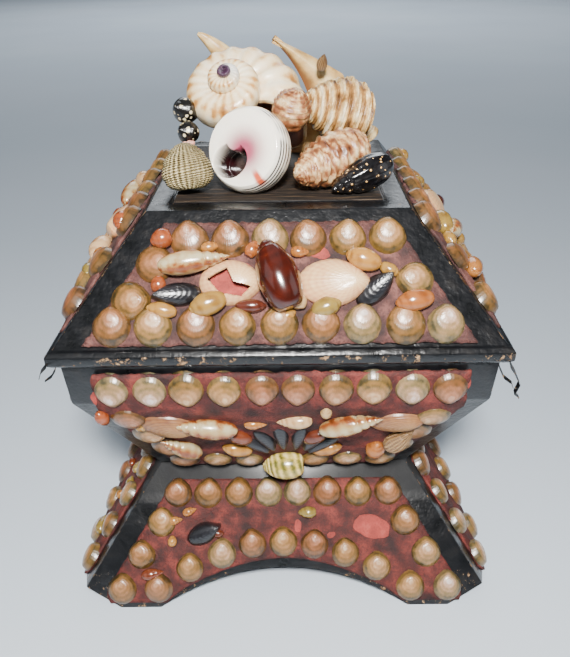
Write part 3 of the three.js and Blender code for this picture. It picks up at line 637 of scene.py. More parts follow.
def makePanel(face, side):
    look = panels[face]
    low, top = look["low"] * mm, panelTop(face)
    bm = bmesh.new()
    bmesh.ops.create_grid(bm, x_segments=puttyLook["columns"], y_segments=puttyLook["rows"], size=1)
    for vert in bm.verts:
        share, climb = vert.co.x, (vert.co.y + 1) / 2
        x = share * hip(face, low + (top - low) * climb)
        bottom = max(low, archEdge(x)) if face == "plinth" else low
        y = bottom + (top - bottom) * climb
        x = share * hip(face, y)
        seed = Vector((x, y, 0.05 * side + 0.31 * len(face)))
        edge = min(1 - abs(share), climb * puttyLook["tall"], (1 - climb) * puttyLook["tall"])
        inward = min(1.0, edge / puttyLook["border"])
        lump = noise.noise(seed / puttyLook["lump"]) * puttyLook["lumpHeight"]
        grain = noise.noise(seed / puttyLook["grain"]) * puttyLook["grainHeight"]
        stray = (1 - inward) * puttyLook["waver"]
        wave = seed / puttyLook["waverSize"]
        x += stray * noise.noise(wave)
        y += stray * noise.noise(wave + Vector((7, 3, 1))) * (0 if face == "plinth" else 1)
        lift = puttyTop - puttyLook["edgeDrop"] * puttyLook["depth"] * (1 - inward) + lump + grain
        vert.co = spot(face, side, x, y, lift).translation
    outward(bm)
    thicken(bm, puttyLook["skin"] * puttyLook["depth"])
    name = f"{face}_{sideNames[side]}"
    finishPiece(name + "_putty", bm, look["putty"], [name + "_panel"], 180)


valveTemplate = template(valveShell({
    "columns": 18, "rows": 5, "length": 1.0, "width": 1.02, "rise": 0.27, "beak": 0.5, "sink": 0.09,
    "point": 0.1, "pinch": 0.16, "dome": 1.9, "round": 0.62, "spread": 1.2,
}))
valveJitter = {"size": 0.035, "tilt": 0.09, "place": 0.35 * mm, "turn": 0.16}


def jitter(key):
    return dice.uniform(-valveJitter[key], valveJitter[key])


# Lays one small valve at x, y of a face, its beak towards turn
def layValve(bm, face, side, x, y, width, turn, tone=None):
    size = width * (1 + jitter("size"))
    tilt = Matrix.Rotation(jitter("tilt"), 4, "X") @ Matrix.Rotation(jitter("tilt"), 4, "Y")
    place = spot(face, side, x + jitter("place"), y + jitter("place"), puttyTop)
    matrix = place @ tilt @ Matrix.Rotation(turn + jitter("turn"), 4, "Z") @ Matrix.Scale(size, 4)
    layCopy(bm, valveTemplate, matrix, dice.random() if tone is None else tone)


# Points evenly spaced from one end of a row to the other
def row(start, end, pitch):
    start, end = Vector(start), Vector(end)
    steps = max(1, round((end - start).length / pitch))
    return [tuple(start + (end - start) * step / steps) for step in range(steps + 1)]


def outermost(face, y):
    return hip(face, y) - panels[face]["valve"] * mm / 2


# A row up along the hip of one side
def hipRow(face, sign, low, high):
    ends = [(sign * outermost(face, y), y) for y in (low, high)]
    return row(*ends, panels[face]["pitch"] * mm)


# A level row from hip to hip
def levelRow(face, y, leftShare=1):
    edge = outermost(face, y)
    return row((-edge * leftShare, y), (edge, y), panels[face]["pitch"] * mm)


def beaks(places, turn):
    return [(x, y, turn) for x, y in places]


# Places of the small valves on each kind of face: x, y and the beak's direction
def lidPlaces(front):
    radius = panels["lid"]["valve"] * mm / 2
    low, high = panels["lid"]["low"] * mm + radius, panelTop("lid") - radius
    middle = (low + high) / 2
    leftShare = 0.81 if front else 1  # the front's top row starts further in, after a round snail
    left = (middle + radius, middle - radius) if front else (middle,)
    places = beaks(levelRow("lid", low) + levelRow("lid", high, leftShare), quarter)
    places += [(-outermost("lid", y), y, 0) for y in left]
    return places + [(outermost("lid", middle), middle, pi)]


def bodyPlaces(front):
    radius, pitch = panels["body"]["valve"] * mm / 2, panels["body"]["pitch"] * mm
    bandX = carcass["shoulderHalf"] - puttyLook["hipMargin"] - radius
    bandY = panelTop("body") - radius
    foot = panels["body"]["low"] * mm + radius
    low, high = foot + pitch, slopeLength("body") - radius
    places = beaks(row((-bandX, bandY), (bandX, bandY), pitch), -quarter)
    places += beaks(hipRow("body", -1, low, high), 0) + beaks(hipRow("body", 1, low, high), pi)
    return places + beaks(levelRow("body", foot), quarter)


def plinthPlaces(front):
    radius, pitch = panels["plinth"]["valve"] * mm / 2, panels["plinth"]["pitch"] * mm
    highRow = panelTop("plinth") - radius
    foot = panels["plinth"]["low"] * mm + radius
    high = highRow - 2 * radius
    crown = archEdge(0) + radius + arch["outside"]
    spring = arch["halfSpan"] + arch["outside"]
    steps = max(2, round(2 * spring / pitch))
    places = levelRow("plinth", highRow)
    places += hipRow("plinth", -1, foot, high) + hipRow("plinth", 1, foot, high)
    for step in range(steps + 1):
        share = 2 * step / steps - 1
        places.append((share * spring, crown - (crown - foot) * share ** 2))
    return beaks(places, quarter)


placesOf = {"lid": lidPlaces, "body": bodyPlaces, "plinth": plinthPlaces}


def onFace(face, across, up):
    y = slopeLength(face) * up
    return halfAt(face, y) * across, y


# Loose snails between the rows: share across, share up, length and width in mm, the spire's direction
# in degrees, colour tone, and shape
snailLists = {
    "lid": [
        (-0.74, 0.77, 8.5, 8, 200, 0.24, "globe"), (-0.43, 0.71, 8, 4.6, 10, 0.42, "spindle"),
        (-0.64, 0.45, 7, 6, 90, 0.22, "globe"), (-0.58, 0.27, 12, 6.4, 170, 0.55, "olive"),
        (-0.36, 0.3, 15, 9.4, 200, 0.62, "olive"), (-0.16, 0.69, 7, 5.4, 60, 0.3, "globe"),
        (0.12, 0.67, 8, 4.6, 0, 0.36, "spindle"), (0.48, 0.61, 14, 9, 160, 0.5, "olive"),
        (0.62, 0.53, 8, 5.4, 330, 0.6, "olive"), (0.66, 0.31, 15, 8.6, 190, 0.33, "olive"),
        (-0.13, 0.29, 12, 5.4, 0, 0.02, "olive"), (0.1, 0.32, 7, 6.4, 90, 0.9, "globe"),
        (0.04, 0.22, 8, 5, 30, 0.55, "olive"), (0.24, 0.28, 12, 8, 20, 0.72, "olive"),
    ],
    "body": [
        (-0.15, 0.78, 10, 4.6, 0, 0.4, "spindle"), (0.09, 0.84, 15, 6.6, 185, 0.95, "spindle"),
        (0.22, 0.95, 6, 5, 90, 0.9, "globe"), (0.6, 0.4, 10, 9, 80, 0.35, "globe"),
        (-0.74, 0.78, 6, 5, 0, 0.6, "globe"), (-0.3, 0.4, 14, 7, 160, 0.5, "olive"),
        (0.3, 0.4, 14, 7, 20, 0.45, "olive"), (-0.25, 0.62, 13, 7, 140, 0.1, "olive"),
        (0.2, 0.62, 13, 7, 40, 0.05, "olive"), (-0.88, 0.93, 9, 6, 100, 0.25, "olive"),
    ],
    "plinth": [
        (-0.62, 0.66, 7, 4, 20, 0.4, "spindle"), (-0.69, 0.6, 7, 4, 10, 0.45, "spindle"),
        (-0.65, 0.46, 5, 4.4, 90, 0.5, "globe"), (-0.39, 0.51, 6, 4, 0, 0.05, "olive"),
        (-0.7, 0.24, 11, 5.4, 10, 0.1, "spindle"), (0.16, 0.65, 8.5, 5.6, 180, 0.75, "globe"),
    ],
}
smallShapes = {
    "globe": {"whorls": 3, "growth": 1.9, "spire": 0.55, "neck": 0.4, "suture": 0.2, "swell": 0.6},
    "olive": {"whorls": 3, "growth": 2.0, "spire": 0.45, "neck": 0.16, "suture": 0.14, "swell": 0.6},
    "spindle": {"whorls": 5, "growth": 1.45, "spire": 0.62, "neck": 0.14, "suture": 0.24, "swell": 0.85,
                "ribs": 9, "ribDepth": 0.06},
}
snailTemplates = {
    kind: template(coiledShell({"columns": 14, "rows": 22, "length": 1.0, "width": 1.0, **shape}))
    for kind, shape in smallShapes.items()
}


def makeSmallShells(face, side):
    front = side == 0
    name = f"{face}_{sideNames[side]}"
    bm = bmesh.new()
    for number, (x, y, turn) in enumerate(placesOf[face](front)):
        tone = 0.97 if front and face == "body" and number < 2 else None  # the first two are bluish white
        layValve(bm, face, side, x, y, panels[face]["shown"] * mm, turn, tone)
    finishPiece(name + "_valves", bm, clamShell, [name + "_panel"], 70)
    bm = bmesh.new()
    mirror = 1 if side % 2 == 0 else -1
    for across, up, length, width, degrees, tone, kind in snailLists[face]:
        x, y = onFace(face, across * mirror, up)
        place = spot(face, side, x, y, puttyTop + width * mm * 0.3)
        aim = headed(degrees if mirror > 0 else 180 - degrees) @ turnBy(dice.uniform(60, 150))
        size = Matrix.Diagonal((width * mm, width * mm, length * mm, 1))
        layCopy(bm, snailTemplates[kind], place @ aim @ size, tone if front else dice.random())
    finishPiece(name + "_snails", bm, mixedSnail, [name + "_panel"], 70)


for face in panels:
    for side in range(4):
        makePanel(face, side)
        makeSmallShells(face, side)

# Bright plaster where shells or paper came away: face, place, length, width and turn in degrees
bareSpots = [
    ("plinth", 41.9, 36.8, 17, 11, -14), ("plinth", 6.9, 37.6, 3.4, 6, 0), ("plinth", 22.6, 33, 4, 2.6, 20),
    ("lid", -17.2, 26.5, 19, 14, 0), ("body", -11.5, 56.5, 17, 4.4, 4), ("body", 47, 58, 16, 4, -6),
    ("body", 71.5, 71, 7, 8, 0), ("lid", 15.5, 37, 9, 5, -20), ("body", -73, 66, 5, 6, 0),
]
bareLook = {"corners": 22, "lift": 0.35 * mm, "thickness": 0.8 * mm, "uneven": 0.22, "lumps": 1.7}
bm = bmesh.new()
for face, x, y, length, width, degrees in bareSpots:
    ring = bmesh.ops.create_circle(bm, cap_ends=True, segments=bareLook["corners"], radius=1)["verts"]
    place = spot(face, 0, x * mm, y * mm, puttyTop + bareLook["lift"]) @ turnBy(degrees)
    for vert in ring:
        lumps = Vector((*(vert.co.xy * bareLook["lumps"] + Vector((x, y))), length))
        uneven = 1 + bareLook["uneven"] * noise.noise(lumps)
        vert.co = place @ (Vector((vert.co.x * length, vert.co.y * width, 0)) * uneven * mm / 2)
thicken(bm, bareLook["thickness"])
outward(bm)
finishPiece("front_bare_plaster", bm, freshPlaster, [], 40)

# Torn paper: strips hanging at the lid's right front corner, and a frayed edge at its left. Width of each
# strip and the points that it runs along
tornStrips = [
    (3.4, [(88, -90.6, 130), (90, -91.4, 127), (92.5, -92, 122), (91, -92.6, 118), (93.5, -91.6, 115)]),
    (2.2, [(84, -90.6, 129), (86, -92, 125), (89, -93, 123), (90.5, -91.4, 119.6)]),
    (2.6, [(-89, -90.8, 132), (-91.4, -91.6, 129.6), (-92.6, -91.8, 126.6)]),
    (2.0, [(-86, -90.8, 130), (-87.6, -91.8, 127.6), (-90.4, -92, 125.6)]),
]
tornLook = {"thickness": 0.25 * mm, "narrowing": 0.6}
bm = bmesh.new()
for width, points in tornStrips:
    edge = []
    for number, point in enumerate(points):
        narrow = 1 - tornLook["narrowing"] * number / (len(points) - 1)
        half = Vector((0, width * mm / 2 * narrow, width * mm / 4 * narrow))
        edge.append([bm.verts.new(Vector(point) * mm + half), bm.verts.new(Vector(point) * mm - half)])
    for (top, low), (nextTop, nextLow) in zip(edge, edge[1:]):
        bm.faces.new([top, low, nextLow, nextTop])
outward(bm)
thicken(bm, tornLook["thickness"])
outward(bm)
finishPiece("lid_torn_strips", bm, blackPaper, [], 40)
print("putty, small valves and small snails laid")

# Large shells of the faces. Each material is the shell's own surface
# Chestnut snail: polished brown whorl, paler on its crown
chestnut = shellSurface("polishedChestnutSnail", {
    "slot": "chestnut_shell",
    "stops": [(0.2, "#1c0703"), (0.55, "#3c1006"), (0.85, "#6e2c12")], "glow": 0.0,
    "growthLines": 4, "growthTint": 0.12, "ribs": 2, "ribTint": 0.1, "cloudTint": 0.5, "bias": 0.1,
    "roughness": 0.12, "coat": 0.8, "relief": 0.05 * mm, "cloud": 8 * mm,
})
# Fan and limpet valves: satin, cream to salmon, with faint rays
fanShell = shellSurface("fanValve", {
    "slot": "fan_shell",
    "stops": [(0.1, "#e2c698"), (0.45, "#d2a878"), (0.7, "#c08660"), (0.95, "#a96650")],
    "fade": 0.35, "growthLines": 9, "growthTint": 0.1, "ribs": 26, "ribTint": 0.12, "cloudTint": 0.5,
    "bias": -0.1, "relief": 0.16 * mm, "roughness": 0.3, "coat": 0.35, "cloud": 7 * mm,
    "growthBump": 0.15, "ribBump": 0.06,
})
# Banded turrets: cream with orange-red flames along the growth
turretShell = shellSurface("bandedTurret", {
    "slot": "banded_shell",
    "stops": [(0.25, "#aea17e"), (0.48, "#9b7a4c"), (0.64, "#7d421c"), (0.85, "#47190a")],
    "growthLines": 3, "growthTint": 0.34, "wobble": 4, "ribs": 1, "ribTint": 0.1, "cloudTint": 0.8,
    "bias": -0.14, "relief": 0.1 * mm, "roughness": 0.24, "coat": 0.5, "cloud": 4.5 * mm,
})
# Brown ovals: thin satin valves of a larger clam
ovalShell = shellSurface("brownOvalValve", {
    "slot": "tan_shell",
    "stops": [(0.1, "#b38a5c"), (0.45, "#8d623b"), (0.75, "#6a4029"), (0.95, "#472818")],
    "fade": 0.45, "growthLines": 10, "growthTint": 0.14, "ribs": 18, "ribTint": 0.05, "cloudTint": 0.5,
    "bias": -0.12, "relief": 0.14 * mm, "roughness": 0.35, "cloud": 6 * mm,
})
# Mussels: blue-black skin with a dull sheen, greyer towards the crown
musselShell = shellSurface("musselSkin", {
    "slot": "mussel_shell",
    "stops": [(0.2, "#0c0c0f"), (0.55, "#1b1b20"), (0.85, "#3b3a3d")],
    "fade": -0.3, "growthLines": 9, "growthTint": 0.15, "cloudTint": 0.5, "bias": 0.25, "glow": 0.0,
    "relief": 0.12 * mm, "roughness": 0.3, "coat": 0.4, "cloud": 3 * mm,
})
# Latticed brown whelk: ribs crossed by cords, pale on the knots
latticeShell = shellSurface("latticedWhelk", {
    "slot": "tan_shell",
    "stops": [(0.2, "#5f3f24"), (0.5, "#a07848"), (0.8, "#d9bd8a")],
    "growthLines": 16, "growthTint": 0.3, "ribs": 12, "ribTint": 0.3, "cloudTint": 0.3, "bias": -0.05,
    "relief": 0.35 * mm, "growthBump": 0.7, "ribBump": 0.7, "roughness": 0.45,
})
# Olive-green hanging snail: wet-looking, mottled green and yellow
hangingShell = shellSurface("mottledPeriwinkle", {
    "slot": "banded_shell",
    "stops": [(0.25, "#55521f"), (0.45, "#96853a"), (0.65, "#cdb46a"), (0.85, "#e3d3a4")],
    "growthLines": 3, "growthTint": 0.2, "ribs": 2, "ribTint": 0.3, "cloudTint": 0.8, "bias": -0.15,
    "relief": 0.1 * mm, "roughness": 0.2, "coat": 0.6, "cloud": 3 * mm,
})

# Shapes of the faces' shells, coils and then valves. Lengths are in mm
shellKinds = {
    "round": {"whorls": 3, "growth": 2.0, "spire": 0.55, "neck": 0.42, "suture": 0.12, "swell": 0.55,
              "columns": 56, "rows": 90},
    "turret": {"whorls": 6, "growth": 1.36, "spire": 0.62, "neck": 0.1, "suture": 0.24, "swell": 0.9,
               "columns": 40, "rows": 110},
    "lattice": {"whorls": 5, "growth": 1.45, "spire": 0.62, "neck": 0.2, "suture": 0.24, "ribs": 13,
                "ribDepth": 0.1, "cords": 4, "cordDepth": 0.035, "columns": 78, "rows": 110},
    "fan": {"length": 28, "width": 19, "rise": 6, "columns": 72, "rows": 20, "beak": 0.55, "ribs": 26,
            "ribHeight": 0.12 * mm, "scallop": 0.006, "pinch": 0.35, "point": 0.05, "dome": 2.2},
    "oval": {"length": 26, "width": 17, "rise": 5.5, "columns": 48, "rows": 16, "beak": 0.45, "pinch": 0.16},
    "mussel": {"length": 19, "width": 9.6, "rise": 5.2, "columns": 36, "rows": 14, "beak": 0.9, "pinch": 0.45,
               "point": 0.08, "dome": 1.7, "round": 0.6},
}


# Lays a named shell on a face, its apex or beak towards a direction in degrees. Sizes are in mm
def layShell(face, side, name, kind, surface, across, up, degrees, nodes=True, **sizes):
    look = {**shellKinds[kind], **sizes}
    for key in ("length", "width", "rise"):
        if key in look:
            look[key] *= mm
    x, y = onFace(face, across, up)
    lift = puttyTop + puttyLook["gap"]
    whole = f"{face}_{sideNames[side]}_{name}"
    replaced = [whole] if nodes else ()
    if "whorls" in look:
        matrix = spot(face, side, x, y, lift + look["width"] * 0.4) @ headed(degrees)
        finishPiece(whole + "_shell", coiledShell(look), surface, replaced, matrix=matrix)
    else:
        matrix = spot(face, side, x, y, lift) @ turnBy(degrees)
        bm = valveShell({**look, "sink": 0.6 * mm})
        finishPiece(whole + "_shell", bm, surface, replaced, 180, matrix)


# The broken valve keeps a jagged gap that shows the plaster under it
brokenLook = {
    **shellKinds["oval"], "length": 24 * mm, "width": 18 * mm, "rise": 5.5 * mm, "columns": 96, "rows": 40,
    "closed": False, "beak": 0.3, "thickness": 0.8 * mm,
    # corners in mm, clockwise
    "hole": [(-9, 1), (-1, 5.4), (1.6, -0.6), (8.4, -2.4), (4.6, -6.4), (-3.4, -5)],
}


def inHole(point):
    inside = False
    corners = [Vector(corner) * mm for corner in brokenLook["hole"]]
    for start, end in zip(corners, corners[1:] + corners[:1]):
        if (start.y > point.y) != (end.y > point.y):
            crossing = start.x + (end.x - start.x) * (point.y - start.y) / (end.y - start.y)
            inside = inside != (point.x < crossing)
    return inside


def brokenValve():
    bm = valveShell(brokenLook)
    gone = [face for face in bm.faces if inHole(face.calc_center_median())]
    bmesh.ops.delete(bm, geom=gone, context="FACES")
    outward(bm)
    thicken(bm, brokenLook["thickness"])
    place = spot("lid", 0, *onFace("lid", -0.26, 0.46), puttyTop + puttyLook["gap"])
    finishPiece("lid_front_broken_valve_shell", bm, fanShell, ["lid_front_broken_valve"], 50, place)


layShell("lid", 0, "chestnut_snail", "round", chestnut, 0, 0.47, 110, length=28, width=16)
layShell("lid", 0, "fan_valve", "fan", fanShell, 0.29, 0.45, 0)
brokenValve()
layShell("lid", 0, "banded_whelk", "turret", turretShell, -0.53, 0.59, 8, length=28, width=9.4)
layShell("lid", 0, "mussel_left", "mussel", musselShell, -0.52, 0.38, 185)
layShell("lid", 0, "mussel_right", "mussel", musselShell, 0.5, 0.4, 40, length=18, width=10)
layShell("body", 0, "oval_valve_left", "oval", ovalShell, -0.6, 0.78, -8)
layShell("body", 0, "turret_left", "turret", turretShell, -0.36, 0.8, 170, length=28, width=9)
layShell("body", 0, "turret_right", "turret", turretShell, 0.32, 0.82, 22, length=28, width=9)
layShell("body", 0, "oval_valve_right", "oval", ovalShell, 0.6, 0.8, 12, length=24, width=14, rise=5)
layShell("body", 0, "hanging_snail", "round", hangingShell, 0.02, 0.22, 185, length=19, width=13)
layShell("body", 0, "turret_low", "turret", turretShell, -0.6, 0.45, 140, length=21, width=8)
layShell("body", 0, "ribbed_whelk", "lattice", latticeShell, 0.68, 0.56, 60, length=19, width=8.4)
layShell("plinth", 0, "mussel", "mussel", musselShell, -0.48, 0.51, 25, length=17, width=10)
for side in (1, 2, 3):
    layShell("lid", side, "fan_valve", "fan", fanShell, 0.1, 0.45, 0)
    layShell("lid", side, "banded_whelk", "turret", turretShell, -0.38, 0.46, 160, length=26, width=9.4)
    layShell("body", side, "oval_valve", "oval", ovalShell, -0.3, 0.74, 0)
    layShell("body", side, "turret", "turret", turretShell, 0.34, 0.74, 20, length=28, width=9)
# Black mussels spread like petals over the hanging snail
petal = {"length": 16, "width": 7, "rise": 4.6}
for number, degrees in enumerate((150, 125, 100, 75, 50, 28)):
    across, up = 0.04 + 0.25 * cos(radians(degrees)), 0.36 + 0.24 * sin(radians(degrees))
    layShell("body", 0, f"petal_{number}", "mussel", musselShell, across, up, degrees + 180, False, **petal)
print("large shells of the faces laid")


# Shells on the flat top. Places are from the middle of the flat, heights from the flat
# Turban: weathered cream shell, chalky white with tan flames along the ribs, its first whorls purple
turbanShell = shellSurface("weatheredTurban", {
    "slot": "cream_shell",
    "stops": [(0.2, "#f1e4c8"), (0.46, "#e2c798"), (0.6, "#b88444"), (0.8, "#6e4018")],
    "growthLines": 20, "growthTint": 0.16, "wobble": 4, "ribs": 5, "ribTint": 0.2, "ribWobble": 1.5,
    "cloudTint": 0.9, "bias": -0.2, "relief": 0.3 * mm, "roughness": 0.34, "coat": 0.25, "cloud": 9 * mm,
    "grain": 0.8 * mm, "inside": "#8a5a44", "blush": "#3c2238", "streak": "#c9cccb",
})
# Frilled shell: chalk-white frills, tan between them
frillShell = shellSurface("frilledMurex", {
    "slot": "cream_shell",
    "stops": [(0.15, "#ecdcb8"), (0.4, "#cba970"), (0.62, "#946936"), (0.92, "#472b14")],
    # the stripe is lightest on the frills and tan in the troughs between them
    "growthLines": 7, "growthTint": 0.14, "wobble": 2.4, "ribs": 1, "ribTint": -0.42, "cloudTint": 1.2,
    "bias": 0.06, "relief": 0.4 * mm, "roughness": 0.45, "cloud": 5 * mm, "grain": 0.7 * mm,
})
# Rock shell: rough, red-brown streaks over cream knots
rockShell = shellSurface("knottedRockShell", {
    "slot": "rock_shell",
    "stops": [(0.25, "#dcc7a0"), (0.45, "#b98f60"), (0.6, "#83502f"), (0.85, "#432010")],
    "growthLines": 9, "growthTint": -0.12, "wobble": 3, "ribs": 3, "ribTint": 0.12, "cloudTint": 1.3,
    "bias": -0.12, "relief": 0.4 * mm, "roughness": 0.4, "cloud": 5 * mm, "grain": 0.7 * mm,
})
# Basket shell: cords and ribs crossing in beads, straw-coloured with dirt in the lattice
basketShell = shellSurface("basketLattice", {
    "slot": "tan_shell",
    "stops": [(0.15, "#3c3422"), (0.45, "#86764e"), (0.75, "#cbbd92")],
    "growthLines": 26, "growthTint": 0.3, "wobble": 0.4, "ribs": 6, "ribTint": 0.3, "cloudTint": 0.4,
    "bias": -0.02, "relief": 0.5 * mm, "growthBump": 0.6, "ribBump": 0.6, "roughness": 0.42,
})
# Black snails: polished lampblack shell with cream and orange spots
spottedShell = shellSurface("spottedBlackSnail", {
    "slot": "dark_shell",
    "stops": [(0.2, "#060507"), (0.6, "#15100f"), (0.9, "#30201a")], "growthLines": 6, "growthTint": 0.1,
    "cloudTint": 0.5, "roughness": 0.14, "coat": 0.8, "relief": 0.12 * mm, "glow": 0.0,
    "spots": {"pitch": 2.5 * mm, "reach": 0.17, "colour": "#e0b070"},
})
neriteShell = shellSurface("chequeredNerite", {
    "slot": "dark_shell",
    "stops": [(0.2, "#070606"), (0.6, "#17120f"), (0.9, "#2c211b")], "growthLines": 6, "growthTint": 0.1,
    "cloudTint": 0.5, "roughness": 0.2, "coat": 0.6, "relief": 0.15 * mm, "glow": 0.0,
    "spots": {"pitch": 2.6 * mm, "reach": 0.3, "colour": "#d8c9a4"},
})
# Moon shell: porcelain mouth, blushing pink round its pillar, painted shade inside the gap, brown-black lines
# behind the rim
moonPorcelain = shellSurface("moonPorcelain", {
    "slot": "white_shell",
    "stops": [(0.1, "#f8f1e2"), (0.5, "#efe2c8"), (0.74, "#c9b586"), (0.8, "#3a2220"), (0.95, "#2a1618")],
    "growthLines": 9, "wobble": 0.6, "cloudTint": 0.25, "relief": 0.1 * mm,
    # the near-black colour draws the lines behind the rim and is painted shade inside the gap
    "roughness": 0.14, "coat": 0.7, "cloud": 7 * mm, "blush": "#96204a", "stripesAndShade": "#1c0406",
    "streak": "#c4512c",
})
# Pale horn and blade: chips of a big cream shell, worn satin, brown on the broken inner side
chipShell = shellSurface("wornShellChip", {
    "slot": "cream_shell",
    "stops": [(0.2, "#dfc894"), (0.5, "#c09a5e"), (0.8, "#7a5628")], "growthLines": 5, "growthTint": 0.12,
    "ribs": 5, "ribTint": 0.2, "cloudTint": 0.7, "bias": -0.05, "relief": 0.3 * mm, "roughness": 0.42,
    "cloud": 6 * mm, "grain": 0.8 * mm, "blush": "#8a5a34",
})
# Pink coral sand: small sugary grains in a lump
coralSand = puttySurface("pinkCoralSand", "pink_crystal", puttyStops["sand"], 0.3)

roughCoil = {"columns": 72, "rows": 96, "neck": 0.4, "swell": 0.85}
clusterShells = {
    "frilled_shell": {
        "surface": frillShell, "place": (29.5, 9, 24.5), "axis": (-0.93, -0.2, 0.22),
        "length": 34, "width": 26, "whorls": 6, "growth": 1.24, "spire": 0.62, "suture": 0.12, "frill": 0.2,
        "ribs": 8, "ribDepth": 0.09, "ribPower": 2, "slant": 0.4, "swell": 0.7, "columns": 110, "rows": 170,
        "shift": 0.35,
    },
    "rock_shell": {
        "surface": rockShell, "place": (25, -23.5, 12.6), "axis": (-0.77, -0.6, -0.2),
        "length": 37, "width": 20, "whorls": 4, "growth": 1.45, "spire": 0.62, "suture": 0.16, "ribs": 8,
        "ribDepth": 0.13, "slant": 0.25, "cords": 4, "cordDepth": 0.02, "swell": 0.5,
    },
    "basket_shell": {
        "surface": basketShell, "place": (-37.6, -31.5, 8.4), "axis": (-0.1, 0.3, 0.95),
        "length": 19, "width": 20, "whorls": 3.6, "growth": 1.7, "spire": 0.66, "suture": 0.1, "ribs": 26,
        "ribDepth": 0.06, "cords": 6, "cordDepth": 0.04, "columns": 144, "rows": 130, "swell": 0.5,
    },
    "spotted_shell": {
        "surface": spottedShell, "place": (37, -32.2, 8), "axis": (-0.87, -0.4, -0.28),
        "length": 29, "width": 14, "whorls": 5, "growth": 1.42, "spire": 0.6, "suture": 0.24, "ribs": 12,
        "ribDepth": 0.05, "neck": 0.2, "swell": 0.75,
    },
    "cockle_lump": {
        "surface": (rockShell[0], "tan_shell"), "place": (6, -15, 30.4), "axis": (0.3, -0.3, 0.9),
        "length": 18, "width": 16, "whorls": 2, "growth": 1.7, "spire": 0.5, "suture": 0.1, "ribs": 7,
        "ribDepth": 0.08, "cords": 3, "cordDepth": 0.03, "swell": 0.5, "neck": 0.3,
    },
    "dark_nerite": {
        "surface": neriteShell, "place": (-41.4, -3, 28.3), "axis": (-0.6, -0.7, 0.4),
        "length": 12, "width": 11, "whorls": 2.4, "growth": 2.0, "spire": 0.45, "suture": 0.12,
    },
    "small_nerite": {
        "surface": neriteShell, "place": (-39.8, -9.8, 20.4), "axis": (-0.6, -0.7, 0.4),
        "length": 9.6, "width": 9.6, "whorls": 2.4, "growth": 2.0, "spire": 0.45, "suture": 0.12,
    },
    "brown_bit": {
        "surface": latticeShell, "place": (20.5, 23, 42.5), "axis": (0.2, -0.3, 0.9),
        "length": 8, "width": 5, "whorls": 3, "growth": 1.5, "spire": 0.6, "suture": 0.2,
    },
}
turban = {
    "place": (-11.8, 14, 25.5), "axis": (-0.12, -0.64, 0.76), "spin": -25, "length": 50, "width": 54,
    "growth": 2.35, "turns": 4.6, "columns": 56, "perTurn": 144, "fat": 1.06, "overlap": 0.82, "spire": 0.6,
    "shoulder": 0.26, "tail": 0.12, "lip": 0.86, "ribs": 16, "ribDepth": 0.07, "ribTurns": 0.6,
    "purpleFrom": (2.2, 2.4), "greyFrom": (1.83, 2.07), "grey": 0.8,
}


def onFlat(place):
    return Vector((place[0] * mm, place[1] * mm, flatZ + place[2] * mm))


def paintLayers(bm, *names):
    return [bm.verts.layers.float.new(name) for name in names]


for name, look in clusterShells.items():
    bm = coiledShell({**roughCoil, **look, "length": look["length"] * mm, "width": look["width"] * mm})
    nodes = [] if name == "brown_bit" else ["top_" + name]
    matrix = aimed(onFlat(look["place"]), look["axis"])
    finishPiece(f"top_{name}_whorls", bm, look["surface"], nodes, matrix=matrix)

# The turban's first whorls are purple, the next ones bluish grey
bm = spiralShell({**turban, "length": turban["length"] * mm, "width": turban["width"] * mm})
along = bm.verts.layers.float["along"]
blush, streak = paintLayers(bm, "blush", "streak")
for vert in bm.verts:
    vert[streak] = turban["grey"] * smooth(*turban["greyFrom"], vert[along])
    vert[blush] = smooth(*turban["purpleFrom"], vert[along])
matrix = aimed(onFlat(turban["place"]), turban["axis"], turban["spin"])
finishPiece("top_turban_shell_whorls", bm, turbanShell, ["top_turban_shell"], matrix=matrix)

# Moon shell, its mouth to the front: rings from the back over the rim to the middle of the mouth, and the
# gap beside the pillar pressed in and darkened with painted shade
moon = {
    "place": (-11.4, -27, 16.4), "axis": (-0.4, -0.83, 0.38),
    "columns": 144, "backRings": 60, "mouthRings": 56,
    "profile": [(0.3, -15), (9.6, -12.8), (15.8, -6.3), (17.5, 0), (17.0, 4.6), (15.4, 7.4)],
    "crown": 8.2, "gap": (-6.7, -3.0), "gapSize": (7.8, 6.6), "pillar": (-2.6, 3.4), "pillarRound": 3.8,
    "depth": 12, "blush": (0.6, -1.6), "streakAngle": -76, "stripes": (0.47, 0.6, 0.7, 0.78, 0.86),
    # from where to where each of these comes up
    "gapEdge": (1.06, 0.9), "pillarEdge": (0.8, 1.12), "blushEdge": (13, 2.5), "gapShadeEdge": (0.1, 0.6),
    "stripeEdge": (0.03, 0.012), "stripeGaps": (0.3, 0.55), "streakWidth": (9, 3), "streakRadius": (9, 13),
    "streakShare": (0.72, 0.9),
}


# A point along a profile, rounded through its corners
def alongProfile(points, share):
    place = share * (len(points) - 1)
    number = min(int(place), len(points) - 2)
    t = place - number
    before, start = points[max(number - 1, 0)], points[number]
    end, after = points[number + 1], points[min(number + 2, len(points) - 1)]
    return [
        0.5 * (2 * b + (c - a) * t + (2 * a - 5 * b + 4 * c - d) * t * t + (3 * b - a - 3 * c + d) * t ** 3)
        for a, b, c, d in zip(before, start, end, after)
    ]


# Radius, height and share of the growth of each ring, the mouth's past 1
def moonRings():
    rimRadius, rimHeight = moon["profile"][-1]
    shares = [ring / moon["backRings"] for ring in range(1, moon["backRings"] + 1)]
    rings = [(*alongProfile(moon["profile"], share), share) for share in shares]
    for ring in range(1, moon["mouthRings"]):
        share = 1 - ring / moon["mouthRings"]
        height = rimHeight + (moon["crown"] - rimHeight) * (1 - share ** 2)
        rings.append((rimRadius * share, height, 2 - share))
    return rings


# Distance of a point from one of the mouth's places, or its share of the way across it
def moonReach(x, y, name, size=(1, 1)):
    return hypot((x - moon[name][0]) / size[0], (y - moon[name][1]) / size[1])


